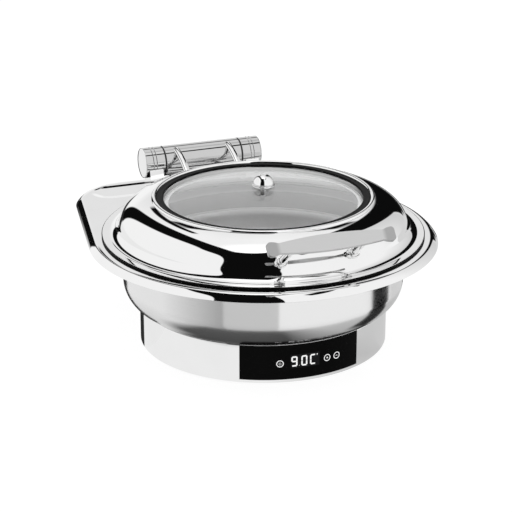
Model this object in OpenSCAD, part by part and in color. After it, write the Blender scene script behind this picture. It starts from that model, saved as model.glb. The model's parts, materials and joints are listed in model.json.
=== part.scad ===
// Electric chafing dish: a heated stand, a lift-off water pan with a food pan, and a hinged lid with a window.
// Millimetres. The origin is on the table under the stand's axis, +Z is up and the front faces -Y.

/* [Stand] */
// Outer diameter of the stand wall
stand_d = 314; // [300:1:326]
// Height of the stand wall
stand_h = 48.6; // [46:0.2:70]
// Sheet thickness of the stand
stand_t = 1; // [0.8:0.1:1.5]
// Height of the wall's lower edge above the table
foot_h = 2; // [1.5:0.5:6]
// Depth of the bottom cover above the wall's lower edge
cover_recess = 1; // [0.5:0.5:4]
// Sheet thickness of the bottom cover
cover_t = 1; // [0.8:0.1:2]
// Radial width of the foot ring
foot_w = 12; // [8:1:20]
// Width of the flange inside the foot of the wall
flange_w = 12; // [10:1:16]
// Number of screws that hold the bottom cover
cover_screw_count = 6; // [4:1:10]
// Number of vent slots in the bottom cover
vent_count = 20; // [12:2:28]

/* [Controls] */
// Half angle that the control panel takes round the wall
panel_half_angle = 28.7; // [27:0.1:32]
// Angle that the control panel is turned round the wall, from the front
panel_turn = -2.9; // [-6:0.1:6]
// Height of the steel left under the control panel
panel_sill = 3.7; // [3:0.1:8]
// Height of the steel left over the control panel
panel_head = 1.6; // [1.4:0.1:2.4]
// Thickness of the control panel
panel_t = 3; // [2:0.5:4]
// Thickness of the frame behind the panel
carrier_t = 3.4; // [2.5:0.1:5]
// Width of the display module
display_w = 36; // [28:1:40]
// Height of the display module
display_h = 18; // [14:1:20]
// Angles of the touch keys round the wall, from the panel's middle
key_angles = [-10.8, 11.4, 16.4];
// Width of the control board
control_board_w = 100; // [94:1:102]
// Thickness of the circuit boards
board_t = 1.6; // [1:0.2:2]

/* [Heater] */
// Diameter of the heating plate
plate_d = 216; // [206:1:230]
// Thickness of the heating plate
plate_t = 5; // [4:0.5:7]
// Diameter of the heating element's ring
element_d = 156; // [130:1:164]
// Diameter of the heating element's tube
element_tube_d = 6.5; // [5:0.5:8]
// Height of the heat shield's floor over the bottom cover
shield_h = 26; // [24:0.5:28]
// Length of the power board
power_board_l = 64; // [60:1:70]
// Width of the power board
power_board_w = 90; // [86:1:100]
// Height of the pillars under the power board
pillar_h = 8; // [6:0.5:8]

/* [Mains inlet] */
// Width of the inlet's flange
inlet_w = 31; // [30:0.5:36]
// Height of the inlet's flange
inlet_h = 24.5; // [23:0.5:28]
// How far the inlet's flange stands out of the wall
inlet_proud = 3; // [2:0.5:5]
// Depth of the inlet's socket
inlet_depth = 18; // [16:0.5:22]

/* [Water pan] */
// Outer diameter of the water pan's body
pan_d = 355; // [345:1:360]
// Height of the water pan from its floor to the rim's top
pan_h = 92; // [88:1:110]
// Sheet thickness of the water pan
pan_t = 1.2; // [0.8:0.1:1.6]
// Outer radius between the pan's wall and floor
pan_corner_r = 35; // [30:1:40]
// Radial width of the rim round the step
rim_w = 21; // [19:0.5:26]
// Radius of the rim's rounded edge
rim_edge_r = 17.5; // [15:0.5:19]
// Angle that the rim's edge turns down
rim_edge_turn = 61; // [50:1:66]
// Diameter of the step inside the rim
ledge_d = 398; // [396:1:401]
// Depth of the ledge that carries the food pan
ledge_drop = 4; // [3:0.5:6]

/* [Rear tongue] */
// Distance of the tongue's back edge from the axis
tongue_back = 264; // [262:1:280]
// Distance between the centres of the tongue's corners
tongue_corner_span = 219; // [210:1:226]
// Radius of the tongue's corners
tongue_corner_r = 80; // [76:1:84]
// Length of the pressed recess, left to right
recess_l = 326; // [310:1:330]
// Width of the pressed recess, front to back
recess_w = 56; // [54:1:60]
// Distance of the recess from the tongue's back edge
recess_margin = 17; // [14:1:20]
// Depth of the pressed recess
recess_depth = 1.6; // [1:0.1:2.5]

/* [Food pan] */
// Inner diameter of the food pan
food_d = 338; // [320:1:344]
// Depth of the food pan
food_depth = 62; // [50:1:70]
// Inner radius between the food pan's wall and floor
food_corner_r = 42; // [25:1:45]
// Sheet thickness of the food pan
food_t = 1; // [0.8:0.1:1.4]
// Outer diameter of the food pan's rim
food_rim_d = 393; // [380:1:394]

/* [Lid] */
// Outer diameter of the lid's flange
lid_d = 406; // [404:1:412]
// Sheet thickness of the lid
lid_t = 1.2; // [0.8:0.1:1.6]
// Height of the flange's top over the rim
lid_flange_h = 3.4; // [3:0.1:5]
// Diameter of the dome at its widest
dome_d = 364; // [356:1:368]
// Height of the dome's widest line over the rim
dome_foot_h = 11; // [9:0.5:14]
// Angle along the dome's curve at which its flared foot ends
flare_angle = 6.5; // [5:0.5:8]
// Radial run of the dome's curve, from its widest line to its crown
dome_run = 60; // [56:1:66]
// Height of the dome's curve, from its widest line to its crown
dome_rise = 37.5; // [32:0.5:44]
// Outer diameter of the bead round the window
bead_d = 280; // [272:1:286]
// Radius of the bead round the window
bead_r = 3; // [2:0.5:4]
// Depth of the window's seat below the bead's centre
seat_depth = 7; // [6:0.1:8]
// Radial width of the gasket
gasket_w = 9; // [8:0.5:12]
// Thickness of the glass
glass_t = 4; // [3:0.5:4]
// How far the glass rises over its gasket
glass_rise = 12.8; // [9:0.2:18]

/* [Vent knob] */
// Diameter of the vent knob
knob_d = 28; // [22:1:34]
// Height of the vent knob
knob_h = 15; // [10:0.5:18]
// Diameter of the knob's stem
knob_stem_d = 8; // [6:0.5:10]

/* [Handle] */
// Length of the handle's posts, from the dome to the middle of the bar
post_l = 51.6; // [44:0.2:58]
// Place of the posts' feet on the dome's curve, as an angle from its widest line
post_foot_angle = 24.8; // [20:0.2:30]
// Tilt of the handle's posts over the horizontal
handle_tilt = 39; // [34:1:44]
// Length of the handle bar
handle_l = 158; // [140:1:180]
// Thickness of the handle bar
handle_t = 6; // [5:0.5:9]
// Width of the handle bar at its middle
handle_mid_w = 20; // [16:0.5:26]
// Width of the handle bar at its necks
handle_neck_w = 12; // [9:0.5:14]
// Width of the handle bar's flared ends
handle_end_w = 17; // [15:0.5:22]
// Distance between the handle's posts
post_span = 92; // [80:1:104]
// Diameter of the handle's posts
post_d = 9; // [8:0.5:11]

/* [Hinge] */
// Distance of the hinge's axis in front of the tongue's back edge
hinge_margin = 24; // [21:1:26]
// Height of the hinge's axis over the rim
hinge_rise = 27.7; // [26:0.1:34]
// Diameter of the hinge's tube
tube_d = 41; // [36:1:44]
// Length of the hinge's tube over its caps
tube_l = 169; // [150:1:190]
// Wall of the hinge's tube
tube_t = 3.5; // [2.5:0.5:5]
// Length of the turning barrel
barrel_l = 108; // [98:1:116]
// Diameter of the hinge's shaft
shaft_d = 12; // [10:0.5:13]
// Thickness of the black washers at the seams
washer_t = 1.5; // [1:0.1:2.5]
// Thickness of the tube's end caps
cap_t = 2; // [1.5:0.5:4]
// Width of the lid's arms
arm_w = 9; // [7:0.5:14]
// Thickness of the lid's arms
arm_t = 5; // [4:0.5:7]
// Distance between the lid's arms
arm_span = 74; // [60:1:84]
// How far the lid's arms bow upwards
arm_bow = 4; // [2:0.5:8]
// Diameter of the lift spring's wire
spring_wire_d = 3; // [2:0.2:3.4]
// Number of turns in the lift spring
spring_turns = 8; // [6:1:10]

/* [Fasteners and fits] */
// Shank diameter of the lid's screws
lid_screw_d = 5; // [4:0.5:5]
// Head diameter of the lid's screws
lid_screw_head_d = 10; // [8:0.5:12]
// Diameter of the foot under each post and arm
post_foot_d = 15; // [13:0.5:18]
// Shank diameter of the stand's screws
stand_screw_d = 3; // [2.5:0.5:4]
// Gap between pieces that are fixed together
fit = 0.05; // [0.02:0.01:0.1]
// Gap between sheet edges and what they enclose
sheet_gap = 0.15; // [0.1:0.05:0.3]
// Gap between the stand's upper edge and the pan's rounded corner
seat_gap = 0.4; // [0.3:0.1:0.8]
// Radial gap of the bushes on the hinge's shaft
running_gap = 0.05; // [0.02:0.01:0.1]

/* [Hidden] */
$fn = 96;
sphere_fn = 360;

// Length by which a cutting tool passes the face that it cuts
past = 1;

// Colours
polished = "gainsboro";
satin = "silver";
dark = "dimgray";
black = "black";
rubber = "#222222";
board_green = "darkgreen";
brass = "goldenrod";

// Stand levels
stand_r = stand_d / 2;
wall_inner_r = stand_r - stand_t;
stand_top = foot_h + stand_h;
stand_edge_r = stand_t;
cover_z = foot_h + cover_recess;
cover_top = cover_z + cover_t;
flange_top = cover_top + stand_t;
flange_r = wall_inner_r - flange_w;
cover_r = wall_inner_r - sheet_gap;
cover_screw_r = wall_inner_r - flange_w / 3;
foot_outer_r = flange_r + flange_w / 4;
screw_head_r = stand_screw_d * 0.85;
screw_head_h = stand_screw_d / 2;

// Pan levels: the rounded corner of the pan sits over the upper edge of the stand
pan_r = pan_d / 2;
pan_flat_r = pan_r - pan_corner_r;
seat_run = wall_inner_r - pan_flat_r;
seat_drop = pan_corner_r - sqrt(pan_corner_r ^ 2 - seat_run ^ 2);
pan_floor = stand_top - seat_drop + seat_gap;
rim_top = pan_floor + pan_h;

// Heater levels
deck_gap = 1.5;
deck_top = pan_floor - deck_gap;
deck_bottom = deck_top - stand_t;
plate_r = plate_d / 2;
plate_bottom = pan_floor - plate_t;
seal_w = 4;
seal_lip = 3;
seal_lip_t = 1;
deck_hole_r = plate_r + seal_w;
shield_z = cover_top + shield_h;
shield_t = 0.8;
shield_rim_h = 6;
shield_r = plate_r + 3;
standoff_count = 4;
standoff_circle_r = plate_r - 12;
standoff_foot_r = 6;
standoff_neck_r = 4;
terminal_r = 2;
terminal_hole_r = 4;
terminal_drop = 6;
terminal_angle = 12;
element_r = element_d / 2;
element_tube_r = element_tube_d / 2;
terminal_ball_r = element_tube_r + 0.3;
element_z = plate_bottom - fit - terminal_ball_r;
thermostat_r = 8.5;
thermostat_h = 9;
thermostat_ear_l = 24;
thermostat_ear_w = 8;
thermostat_ear_t = 1;

// Power board
power_y = -40;
power_z = cover_top + pillar_h;
power_top = power_z + board_t;
pillar_r = 3;
pillar_inset = 6;
block_l = 36;
block_w = 9;
block_h = 10;
block_back = power_y + power_board_l / 2 - block_w / 2;
transformer_at = [-36, -18];
transformer_size = [30, 26];
relay_at = [6, -24];
relay_size = [24, 16];
capacitor_at = [18, 4];
capacitor_r = 6;
component_gap = 3;
lead_r = 1.4;
lead_bend_r = 1.6;
lead_z = power_top + block_h / 2;
lead_low_z = cover_top + 5;
lead_drop_run = 12;
lead_rise_start = 14;
lead_end_run = 5;
heater_lead_inset = 4;

// Control panel
panel_z0 = foot_h + panel_sill;
panel_z1 = stand_top - panel_head;
panel_mid_z = (panel_z0 + panel_z1) / 2;
panel_back_r = stand_r - panel_t;
carrier_r1 = panel_back_r - fit;
carrier_r0 = carrier_r1 - carrier_t;
carrier_top = deck_bottom - past;
gap_angle = sheet_gap / stand_r * 180 / PI;
window_margin_angle = 3;
window_angle0 = min(key_angles) - window_margin_angle;
window_angle1 = max(key_angles) + window_margin_angle;
window_h = display_h + 4;
control_front_y = -sqrt(carrier_r0 ^ 2 - (control_board_w / 2) ^ 2) + 1.5;
control_z0 = flange_top + 3;
control_z1 = carrier_top - 1;
boss_r = 2.5;
boss_inset_x = 10;
boss_inset_z = 3;
spring_pad_r = 3;
ribbon_w = 16;
ribbon_t = 1;

// Mains inlet
inlet_z = (cover_top + deck_bottom) / 2;
inlet_mouth_y = stand_r + inlet_proud;
inlet_wall = 1.6;
inlet_lip = 1.8;
inlet_body_w = inlet_w - 2 * inlet_lip;
inlet_body_h = inlet_h - 2 * inlet_lip;
inlet_back_wall = 5;
inlet_floor_y = inlet_mouth_y - inlet_depth;
inlet_back_y = inlet_floor_y - inlet_back_wall;
pin_w = 2;
pin_h = 4;
pin_l = inlet_depth - 5;
tab_l = 8;
tab_y = inlet_back_y - tab_l;
pin_places = [[-7, -2.5], [0, 3.5], [7, -2.5]];

// Rim and tongue
rim_fn = 64;
rim_edge_w = rim_edge_r * sin(rim_edge_turn);
rim_low = rim_top - rim_edge_r * (1 - cos(rim_edge_turn));
corner_x = tongue_corner_span / 2;
corner_y = tongue_back - tongue_corner_r;
ledge_r = ledge_d / 2;
rim_r = ledge_r + rim_w;
step_r = ledge_r + pan_t;
ledge_z = rim_top - ledge_drop;
recess_r = recess_w / 2;
recess_y = tongue_back - recess_margin - recess_r;
recess_floor = rim_top - recess_depth;

// Food pan
food_r = food_d / 2;
food_top = ledge_z + food_t;
food_floor = food_top - food_depth;

// Lid
lid_r = lid_d / 2;
lid_gap = 0.3;
lid_flange_top = rim_top + lid_flange_h;
lid_flange_bottom = lid_flange_top - lid_t;
lid_seal_z = rim_top + lid_gap;
lid_seal_w = 3.4;
lid_seal_wall = 0.8;
lid_seal_top = lid_flange_top - 0.4;
dome_r = dome_d / 2;
dome_c = dome_r - dome_run;
dome_z = rim_top + dome_foot_h;
flare_end = [dome_c + dome_run * cos(flare_angle), dome_z + dome_rise * sin(flare_angle)];
flare_tilt = atan(dome_run / dome_rise * tan(flare_angle));
flare_r = (flare_end[1] - lid_flange_top) / (1 - sin(flare_tilt));
flare_c = flare_end + flare_r * [cos(flare_tilt), sin(flare_tilt)];
bead_outer_r = bead_d / 2;
bead_c = bead_outer_r - bead_r;
bead_angle = acos((bead_outer_r - dome_c) / dome_run);
bead_z = dome_z + dome_rise * sin(bead_angle);
seat_r = bead_outer_r - 2 * bead_r;
seat_z = bead_z - seat_depth;
seat_w = gasket_w + 6;
gasket_r1 = seat_r - fit;
gasket_r0 = seat_r - gasket_w;
gasket_floor_t = 1.2;
gasket_lip_t = 1.4;
gasket_web = 2.8;
glass_r = gasket_r1 - gasket_web;
glass_sphere_r = (gasket_r0 ^ 2 + glass_rise ^ 2) / (2 * glass_rise);
glass_edge_drop = glass_sphere_r - sqrt(glass_sphere_r ^ 2 - glass_r ^ 2);
glass_under = seat_z + gasket_floor_t + fit;
glass_top = glass_under + glass_t + glass_edge_drop;
glass_c = glass_top - glass_sphere_r;
gasket_top = glass_c + sqrt(glass_sphere_r ^ 2 - gasket_r0 ^ 2) + gasket_lip_t;
gasket_round = 1.2;

// Vent knob
knob_r = knob_d / 2;
stem_r = knob_stem_d / 2;
knob_flange_h = 2;
knob_shoulder = 1;
vent_washer_t = 1;
vent_washer_r = knob_r - 3 * knob_shoulder;
knob_z = glass_top + vent_washer_t;
nut_r = knob_stem_d * 0.9;
nut_h = 5;
stem_end = glass_top - glass_t - nut_h - 2;

// Handle
handle_y = -(dome_c + dome_run * cos(post_foot_angle) + post_l * cos(handle_tilt));
handle_z = dome_z + dome_rise * sin(post_foot_angle) + post_l * sin(handle_tilt);
handle_end_r = 4;
handle_neck_x = handle_l / 2 - 3.6 * handle_end_r;
post_x = post_span / 2;
post_start = handle_t / 2;
post_overrun = 20;
post_run = post_l + post_overrun;
post_foot_t = 3;
lid_screw_r = lid_screw_d / 2;
lid_screw_head_r = lid_screw_head_d / 2;
lid_screw_head_h = 3;
post_grip = 14;
arm_grip = 8;

// Hinge
hinge_y = tongue_back - hinge_margin;
hinge_z = rim_top + hinge_rise;
tube_r = tube_d / 2;
bore_r = tube_r - tube_t;
shaft_r = shaft_d / 2;
barrel_x = barrel_l / 2;
seam_gap = 0.1;
washer_x = barrel_x + seam_gap;
sleeve_x0 = washer_x + washer_t;
sleeve_x1 = tube_l / 2 - cap_t;
sleeve_l = sleeve_x1 - sleeve_x0;
hub_l = sleeve_l * 0.4;
hub_root = tube_t / 2;
groove_x = sleeve_x0 + sleeve_l * 0.45;
groove_w = 1.2;
groove_depth = 0.5;
cap_spigot_l = 2.5;
shaft_x = sleeve_x0 + hub_l + 4;
bush_l = 8;
bush_x = barrel_x - bush_l;
damper_l = 34;
damper_r = bore_r - 1.5;
spring_room = 2 * bush_x - damper_l - 4;
spring_pitch = (spring_room - spring_wire_d) / spring_turns;
bracket_l = 19;
bracket_x = (sleeve_x0 + sleeve_x1) / 2;
bracket_reach = 26;
bracket_heel = 5;
bracket_toe_h = 5;
bracket_front = hinge_y - bracket_reach;
bracket_rear = min(hinge_y + bracket_heel, recess_y + recess_r - past);
bracket_screw_r = 2.5;
bracket_screw_depth = 6;
bracket_screw_head_r = 4.5;
bracket_screw_head_h = 3;
bracket_screw_inset = 9;
bracket_screw_pitch = 14;
bracket_screw_y0 = bracket_front + bracket_screw_inset;
bracket_screw_y = [bracket_screw_y0, bracket_screw_y0 + bracket_screw_pitch];
arm_x = arm_span / 2;
arm_root_angle = 112;
arm_foot_angle = 17;
arm_sink = 2;
arm_root_r = tube_r - arm_sink;
arm_root = [hinge_y + arm_root_r * cos(arm_root_angle), hinge_z + arm_root_r * sin(arm_root_angle)];
arm_foot = [dome_c + dome_run * cos(arm_foot_angle), dome_z + dome_rise * sin(arm_foot_angle)];
arm_steps = 12;
arm_boss_r = 5.5;
arm_boss_l = 10;

// A round stretch of outline about c, from angle a0 to a1
function arc(c, r, a0, a1, steps) =
    [for (i = [0:steps]) let (a = a0 + (a1 - a0) * i / steps) [c[0] + r * cos(a), c[1] + r * sin(a)]];

// The dome's curve from its flared foot to the bead, grown outwards by g
function dome_curve(g) = [for (i = [0:16]) let (t = flare_angle + (bead_angle - flare_angle) * i / 16)
    [dome_c + (dome_run + g) * cos(t), dome_z + (dome_rise + g) * sin(t)]];

// The flared foot between flange and dome, grown outwards by g
function dome_foot(g) = arc(flare_c, flare_r - g, 270, 180 + flare_tilt, 8);

function reversed(list) = [for (i = [len(list) - 1:-1:0]) list[i]];

// Points along the bowed centre line of an arm, and the unit normal there
function arm_normal() = let (d = arm_foot - arm_root) [d[1], -d[0]] / norm(d);
function arm_point(t) = arm_root + (arm_foot - arm_root) * t + arm_normal() * 4 * arm_bow * t * (1 - t);
function arm_slope(t) = arm_foot - arm_root + arm_normal() * 4 * arm_bow * (1 - 2 * t);
function arm_side(t, s) = let (d = arm_slope(t)) arm_point(t) + s * [d[1], -d[0]] / norm(d) * arm_t / 2;
arm_end_slope = arm_slope(1);
arm_end_angle = atan2(-arm_end_slope[1], -arm_end_slope[0]);

// Half width of the handle bar at x: full at the middle, drawn in at the necks, flared at the ends
function handle_half_w(x) = x <= handle_neck_x
    ? handle_mid_w / 2 - (handle_mid_w - handle_neck_w) / 2 * (x / handle_neck_x) ^ 2
    : handle_neck_w / 2 + (handle_end_w - handle_neck_w) / 2 * sin(90 * min(1,
        (x - handle_neck_x) / (handle_l / 2 - handle_end_r - handle_neck_x)));

// Shared shapes

// A sector of a ring centred on the front, between two angles from the front
module front_sector(r0, r1, a0, a1, z0, z1) {
    rotate([0, 0, a0 - 90])
        rotate_extrude(angle = a1 - a0)
            translate([r0, z0])
                square([r1 - r0, z1 - z0]);
}

// Turns what belongs to the control panel round the wall
module at_panel() {
    rotate([0, 0, panel_turn])
        children();
}

// The places of the bottom cover's screws, set out from the panel's middle
module at_cover_screws() {
    at_panel()
        on_circle(cover_screw_count, cover_screw_r)
            children();
}

module ring(r0, r1, z0, z1) {
    rotate_extrude()
        translate([r0, z0])
            square([r1 - r0, z1 - z0]);
}

// Copies of the children round the Z axis, at radius r
module on_circle(count, r, start = 0) {
    for (i = [0:count - 1])
        rotate([0, 0, start + 360 * i / count])
            translate([r, 0, 0])
                children();
}

// A straight rod between two points
module rod(p, q, r) {
    d = q - p;
    translate(p)
        rotate([0, acos(d[2] / norm(d)), atan2(d[1], d[0])])
            cylinder(h = norm(d), r = r);
}

// An insulated lead through a row of points
module lead(points) {
    for (i = [0:len(points) - 2])
        rod(points[i], points[i + 1], lead_r);
    for (i = [1:len(points) - 2])
        translate(points[i])
            sphere(r = lead_bend_r);
}

// A screw along +Z with its head below the origin
module screw(shank_r, shank_l, head_r, head_h) {
    difference() {
        union() {
            translate([0, 0, -head_h])
                cylinder(h = head_h, r = head_r);
            cylinder(h = shank_l, r = shank_r);
        }
        translate([0, 0, -head_h - past])
            cylinder(h = past + head_h / 2, r = head_r / 2, $fn = 6);
    }
}

// A piece of tube along X, from x0 to x1, about the hinge's axis
module hinge_tube(r0, r1, x0, x1) {
    translate([x0, hinge_y, hinge_z])
        rotate([0, 90, 0])
            ring(r0, r1, 0, x1 - x0);
}

module hinge_rod(r, x0, x1) {
    translate([x0, hinge_y, hinge_z])
        rotate([0, 90, 0])
            cylinder(h = x1 - x0, r = r);
}

module side(s) {
    mirror([s < 0 ? 1 : 0, 0, 0])
        children();
}

// Everything inside the lid's dome, grown outwards by g
module dome_solid(g) {
    bottom = rim_top + min(g, 0);
    rotate_extrude()
        polygon(concat(
            [[0, bottom], [flare_c[0], bottom]],
            dome_foot(g), dome_curve(g), [[0, bead_z + g]]));
}

// Stand

module stand_shell() {
    fold = stand_top - deck_top;
    slant = stand_t * (sqrt(2) - 1);
    color(polished)
        difference() {
            union() {
                rotate_extrude()
                    polygon(concat(
                        [[wall_inner_r, foot_h], [stand_r, foot_h]],
                        arc([stand_r - stand_edge_r, stand_top - stand_edge_r], stand_edge_r, 0, 90, 6),
                        [
                            [wall_inner_r - fold, deck_top],
                            [deck_hole_r, deck_top],
                            [deck_hole_r, deck_bottom],
                            [wall_inner_r - fold + slant, deck_bottom],
                            [wall_inner_r, stand_top - stand_t - slant]
                        ]));
                ring(flange_r, wall_inner_r, cover_top, flange_top);
            }
            at_panel()
                front_sector(wall_inner_r - sheet_gap, stand_r + past,
                    -panel_half_angle - gap_angle, panel_half_angle + gap_angle,
                    panel_z0 - sheet_gap, panel_z1 + sheet_gap);
            translate([-inlet_body_w / 2 - sheet_gap, wall_inner_r - 2 * past,
                    inlet_z - inlet_body_h / 2 - sheet_gap])
                cube([inlet_body_w + 2 * sheet_gap, stand_t + 4 * past, inlet_body_h + 2 * sheet_gap]);
            at_cover_screws()
                translate([0, 0, cover_z])
                    cylinder(h = stand_h / 4, r = stand_screw_d / 2 + fit);
        }
}

module bottom_cover() {
    slot_w = 3;
    slot_l = 18;
    slot_r = standoff_circle_r - standoff_foot_r - slot_l / 2 - 6;
    color(satin)
        difference() {
            translate([0, 0, cover_z])
                cylinder(h = cover_t, r = cover_r);
            at_cover_screws()
                translate([0, 0, cover_z - past])
                    cylinder(h = cover_t + 2 * past, r = stand_screw_d / 2 + fit);
            on_circle(standoff_count, standoff_circle_r, 45)
                translate([0, 0, cover_z - past])
                    cylinder(h = cover_t + 2 * past, r = stand_screw_d / 2 + fit);
            on_circle(vent_count, slot_r, 180 / vent_count)
                translate([-slot_l / 2, -slot_w / 2, cover_z - past])
                    cube([slot_l, slot_w, cover_t + 2 * past]);
        }
}

module cover_screws() {
    color(satin)
        at_cover_screws()
            translate([0, 0, cover_z])
                screw(stand_screw_d / 2, cover_t + stand_t + 2, screw_head_r, screw_head_h);
}

module foot_ring() {
    color(rubber)
        ring(foot_outer_r - foot_w, foot_outer_r, 0, cover_z);
}

module heating_plate() {
    color(dark)
        translate([0, 0, plate_bottom])
            cylinder(h = plate_t, r = plate_r);
}

module plate_seal() {
    color(rubber) {
        ring(plate_r + fit, deck_hole_r - fit, deck_bottom, deck_top);
        ring(plate_r + fit, deck_hole_r + seal_lip, deck_top, deck_top + seal_lip_t);
    }
}

module heating_element() {
    color(dark) {
        rotate([0, 0, 90 + terminal_angle])
            rotate_extrude(angle = 360 - 2 * terminal_angle)
                translate([element_r, element_z])
                    circle(r = element_tube_r);
        for (s = [-1, 1])
            rotate([0, 0, 90 + s * terminal_angle])
                translate([element_r, 0, 0]) {
                    translate([0, 0, element_z])
                        sphere(r = terminal_ball_r);
                    translate([0, 0, shield_z - terminal_drop])
                        cylinder(h = element_z - shield_z + terminal_drop, r = terminal_r);
                }
    }
}

module heat_shield() {
    color(satin)
        difference() {
            union() {
                translate([0, 0, shield_z])
                    cylinder(h = shield_t, r = shield_r);
                ring(shield_r - shield_t, shield_r, shield_z, shield_z + shield_rim_h);
            }
            on_circle(standoff_count, standoff_circle_r, 45)
                translate([0, 0, shield_z - past])
                    cylinder(h = shield_t + 2 * past, r = standoff_neck_r + fit);
            for (s = [-1, 1])
                rotate([0, 0, 90 + s * terminal_angle])
                    translate([element_r, 0, shield_z - past])
                        cylinder(h = shield_t + 2 * past, r = terminal_hole_r);
        }
}

module plate_standoffs() {
    color(satin)
        on_circle(standoff_count, standoff_circle_r, 45)
            difference() {
                union() {
                    translate([0, 0, cover_top])
                        cylinder(h = shield_h, r = standoff_foot_r);
                    translate([0, 0, cover_top])
                        cylinder(h = plate_bottom - cover_top, r = standoff_neck_r);
                }
                translate([0, 0, cover_z])
                    cylinder(h = shield_h / 2 + past, r = stand_screw_d / 2 + fit);
            }
}

module standoff_screws() {
    color(satin)
        on_circle(standoff_count, standoff_circle_r, 45)
            translate([0, 0, cover_z])
                screw(stand_screw_d / 2, shield_h / 2, screw_head_r, screw_head_h);
}

module thermostat() {
    color(dark) {
        translate([0, 0, plate_bottom - thermostat_h])
            cylinder(h = thermostat_h, r = thermostat_r);
        translate([-thermostat_ear_l / 2, -thermostat_ear_w / 2, plate_bottom - thermostat_ear_t])
            cube([thermostat_ear_l, thermostat_ear_w, thermostat_ear_t]);
    }
}

// The four places of the pillars under the power board
module at_pillars() {
    for (sx = [-1, 1], sy = [-1, 1])
        translate([
            sx * (power_board_w / 2 - pillar_inset),
            power_y + sy * (power_board_l / 2 - pillar_inset),
            cover_top
        ])
            children();
}

module power_board() {
    color(board_green)
        translate([-power_board_w / 2, power_y - power_board_l / 2, power_z])
            cube([power_board_w, power_board_l, board_t]);
}

module board_pillars() {
    color(satin)
        at_pillars()
            cylinder(h = pillar_h, r = pillar_r);
}

// Supply transformer, relay, capacitor and terminal block
module power_components() {
    part_h = shield_z - power_top - component_gap;
    color(dark)
        translate([0, power_y, power_top]) {
            translate([transformer_at[0], transformer_at[1], 0])
                cube([transformer_size[0], transformer_size[1], part_h]);
            translate([relay_at[0], relay_at[1], 0])
                cube([relay_size[0], relay_size[1], part_h]);
            translate([capacitor_at[0], capacitor_at[1], 0])
                cylinder(h = part_h, r = capacitor_r);
            translate([-block_l / 2, block_back - block_w - power_y, 0])
                cube([block_l, block_w, block_h]);
        }
}

// A curved plate whose upper rear edge is bevelled under the stand's folded sheet
module control_panel() {
    fold_under = stand_top - stand_t * sqrt(2) - wall_inner_r - 2 * sheet_gap;
    color(black)
        rotate([0, 0, panel_turn - panel_half_angle - 90])
            rotate_extrude(angle = 2 * panel_half_angle)
                polygon([
                    [panel_back_r, panel_z0],
                    [stand_r, panel_z0],
                    [stand_r, panel_z1],
                    [panel_z1 - fold_under, panel_z1],
                    [panel_back_r, panel_back_r + fold_under]
                ]);
}

// The four places of the bosses that carry the control board
module at_bosses() {
    for (sx = [-1, 1], z = [control_z0 + boss_inset_z, control_z1 - boss_inset_z])
        translate([sx * (control_board_w / 2 - boss_inset_x), control_front_y, z])
            rotate([90, 0, 0])
                children();
}

module panel_carrier() {
    color(rubber)
        at_panel() {
            difference() {
                front_sector(carrier_r0, carrier_r1, -panel_half_angle, panel_half_angle,
                    flange_top, carrier_top);
                front_sector(carrier_r0 - past, carrier_r1 + past, window_angle0, window_angle1,
                    panel_mid_z - window_h / 2, panel_mid_z + window_h / 2);
            }
            intersection() {
                at_bosses()
                    cylinder(h = stand_r, r = boss_r);
                front_sector(0, carrier_r0 + carrier_t / 2, -panel_half_angle, panel_half_angle,
                    flange_top, carrier_top);
            }
        }
}

module control_board() {
    color(board_green)
        at_panel()
            translate([-control_board_w / 2, control_front_y, control_z0])
                cube([control_board_w, board_t, control_z1 - control_z0]);
}

module led_display() {
    color(dark)
        at_panel()
            intersection() {
                translate([-display_w / 2, -stand_r, panel_mid_z - display_h / 2])
                    cube([display_w, stand_r + control_front_y, display_h]);
                cylinder(h = stand_top, r = panel_back_r - sheet_gap);
            }
}

module touch_springs() {
    color(satin)
        at_panel()
            for (a = key_angles)
                intersection() {
                    translate([panel_back_r * sin(a), control_front_y, panel_mid_z])
                        rotate([90, 0, 0])
                            cylinder(h = stand_r, r = spring_pad_r);
                    cylinder(h = stand_top, r = panel_back_r - sheet_gap);
                }
}

module panel_ribbon() {
    start_y = control_front_y + board_t;
    end_y = power_y - power_board_l / 2 + pillar_inset;
    color(satin)
        at_panel()
            translate([-ribbon_w / 2, start_y, power_top])
                cube([ribbon_w, end_y - start_y, ribbon_t]);
}

// The inlet's pins, grown by g
module pins(g) {
    for (p = pin_places)
        translate([p[0] - pin_w / 2 - g, tab_y, inlet_z + p[1] - pin_h / 2 - g])
            cube([pin_w + 2 * g, inlet_floor_y + pin_l - tab_y, pin_h + 2 * g]);
}

module power_inlet() {
    color(rubber)
        difference() {
            union() {
                translate([-inlet_body_w / 2, inlet_back_y, inlet_z - inlet_body_h / 2])
                    cube([inlet_body_w, inlet_mouth_y - inlet_back_y, inlet_body_h]);
                difference() {
                    translate([-inlet_w / 2, stand_r - inlet_proud, inlet_z - inlet_h / 2])
                        cube([inlet_w, 2 * inlet_proud, inlet_h]);
                    cylinder(h = stand_top, r = stand_r + fit);
                }
            }
            translate([-inlet_body_w / 2 + inlet_wall, inlet_floor_y, inlet_z - inlet_body_h / 2 + inlet_wall])
                cube([inlet_body_w - 2 * inlet_wall, inlet_depth + past, inlet_body_h - 2 * inlet_wall]);
            pins(fit);
        }
}

module inlet_pins() {
    color(brass)
        pins(0);
}

// One lead from each pin's tab, along the bottom, to the terminal block
module mains_leads() {
    color(brass)
        for (p = pin_places)
            lead([
                [p[0], tab_y - lead_bend_r, inlet_z + p[1]],
                [p[0], tab_y - lead_drop_run, lead_low_z],
                [p[0], block_back + lead_rise_start, lead_low_z],
                [p[0], block_back + lead_end_run, lead_z],
                [p[0], block_back, lead_z]
            ]);
}

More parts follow.
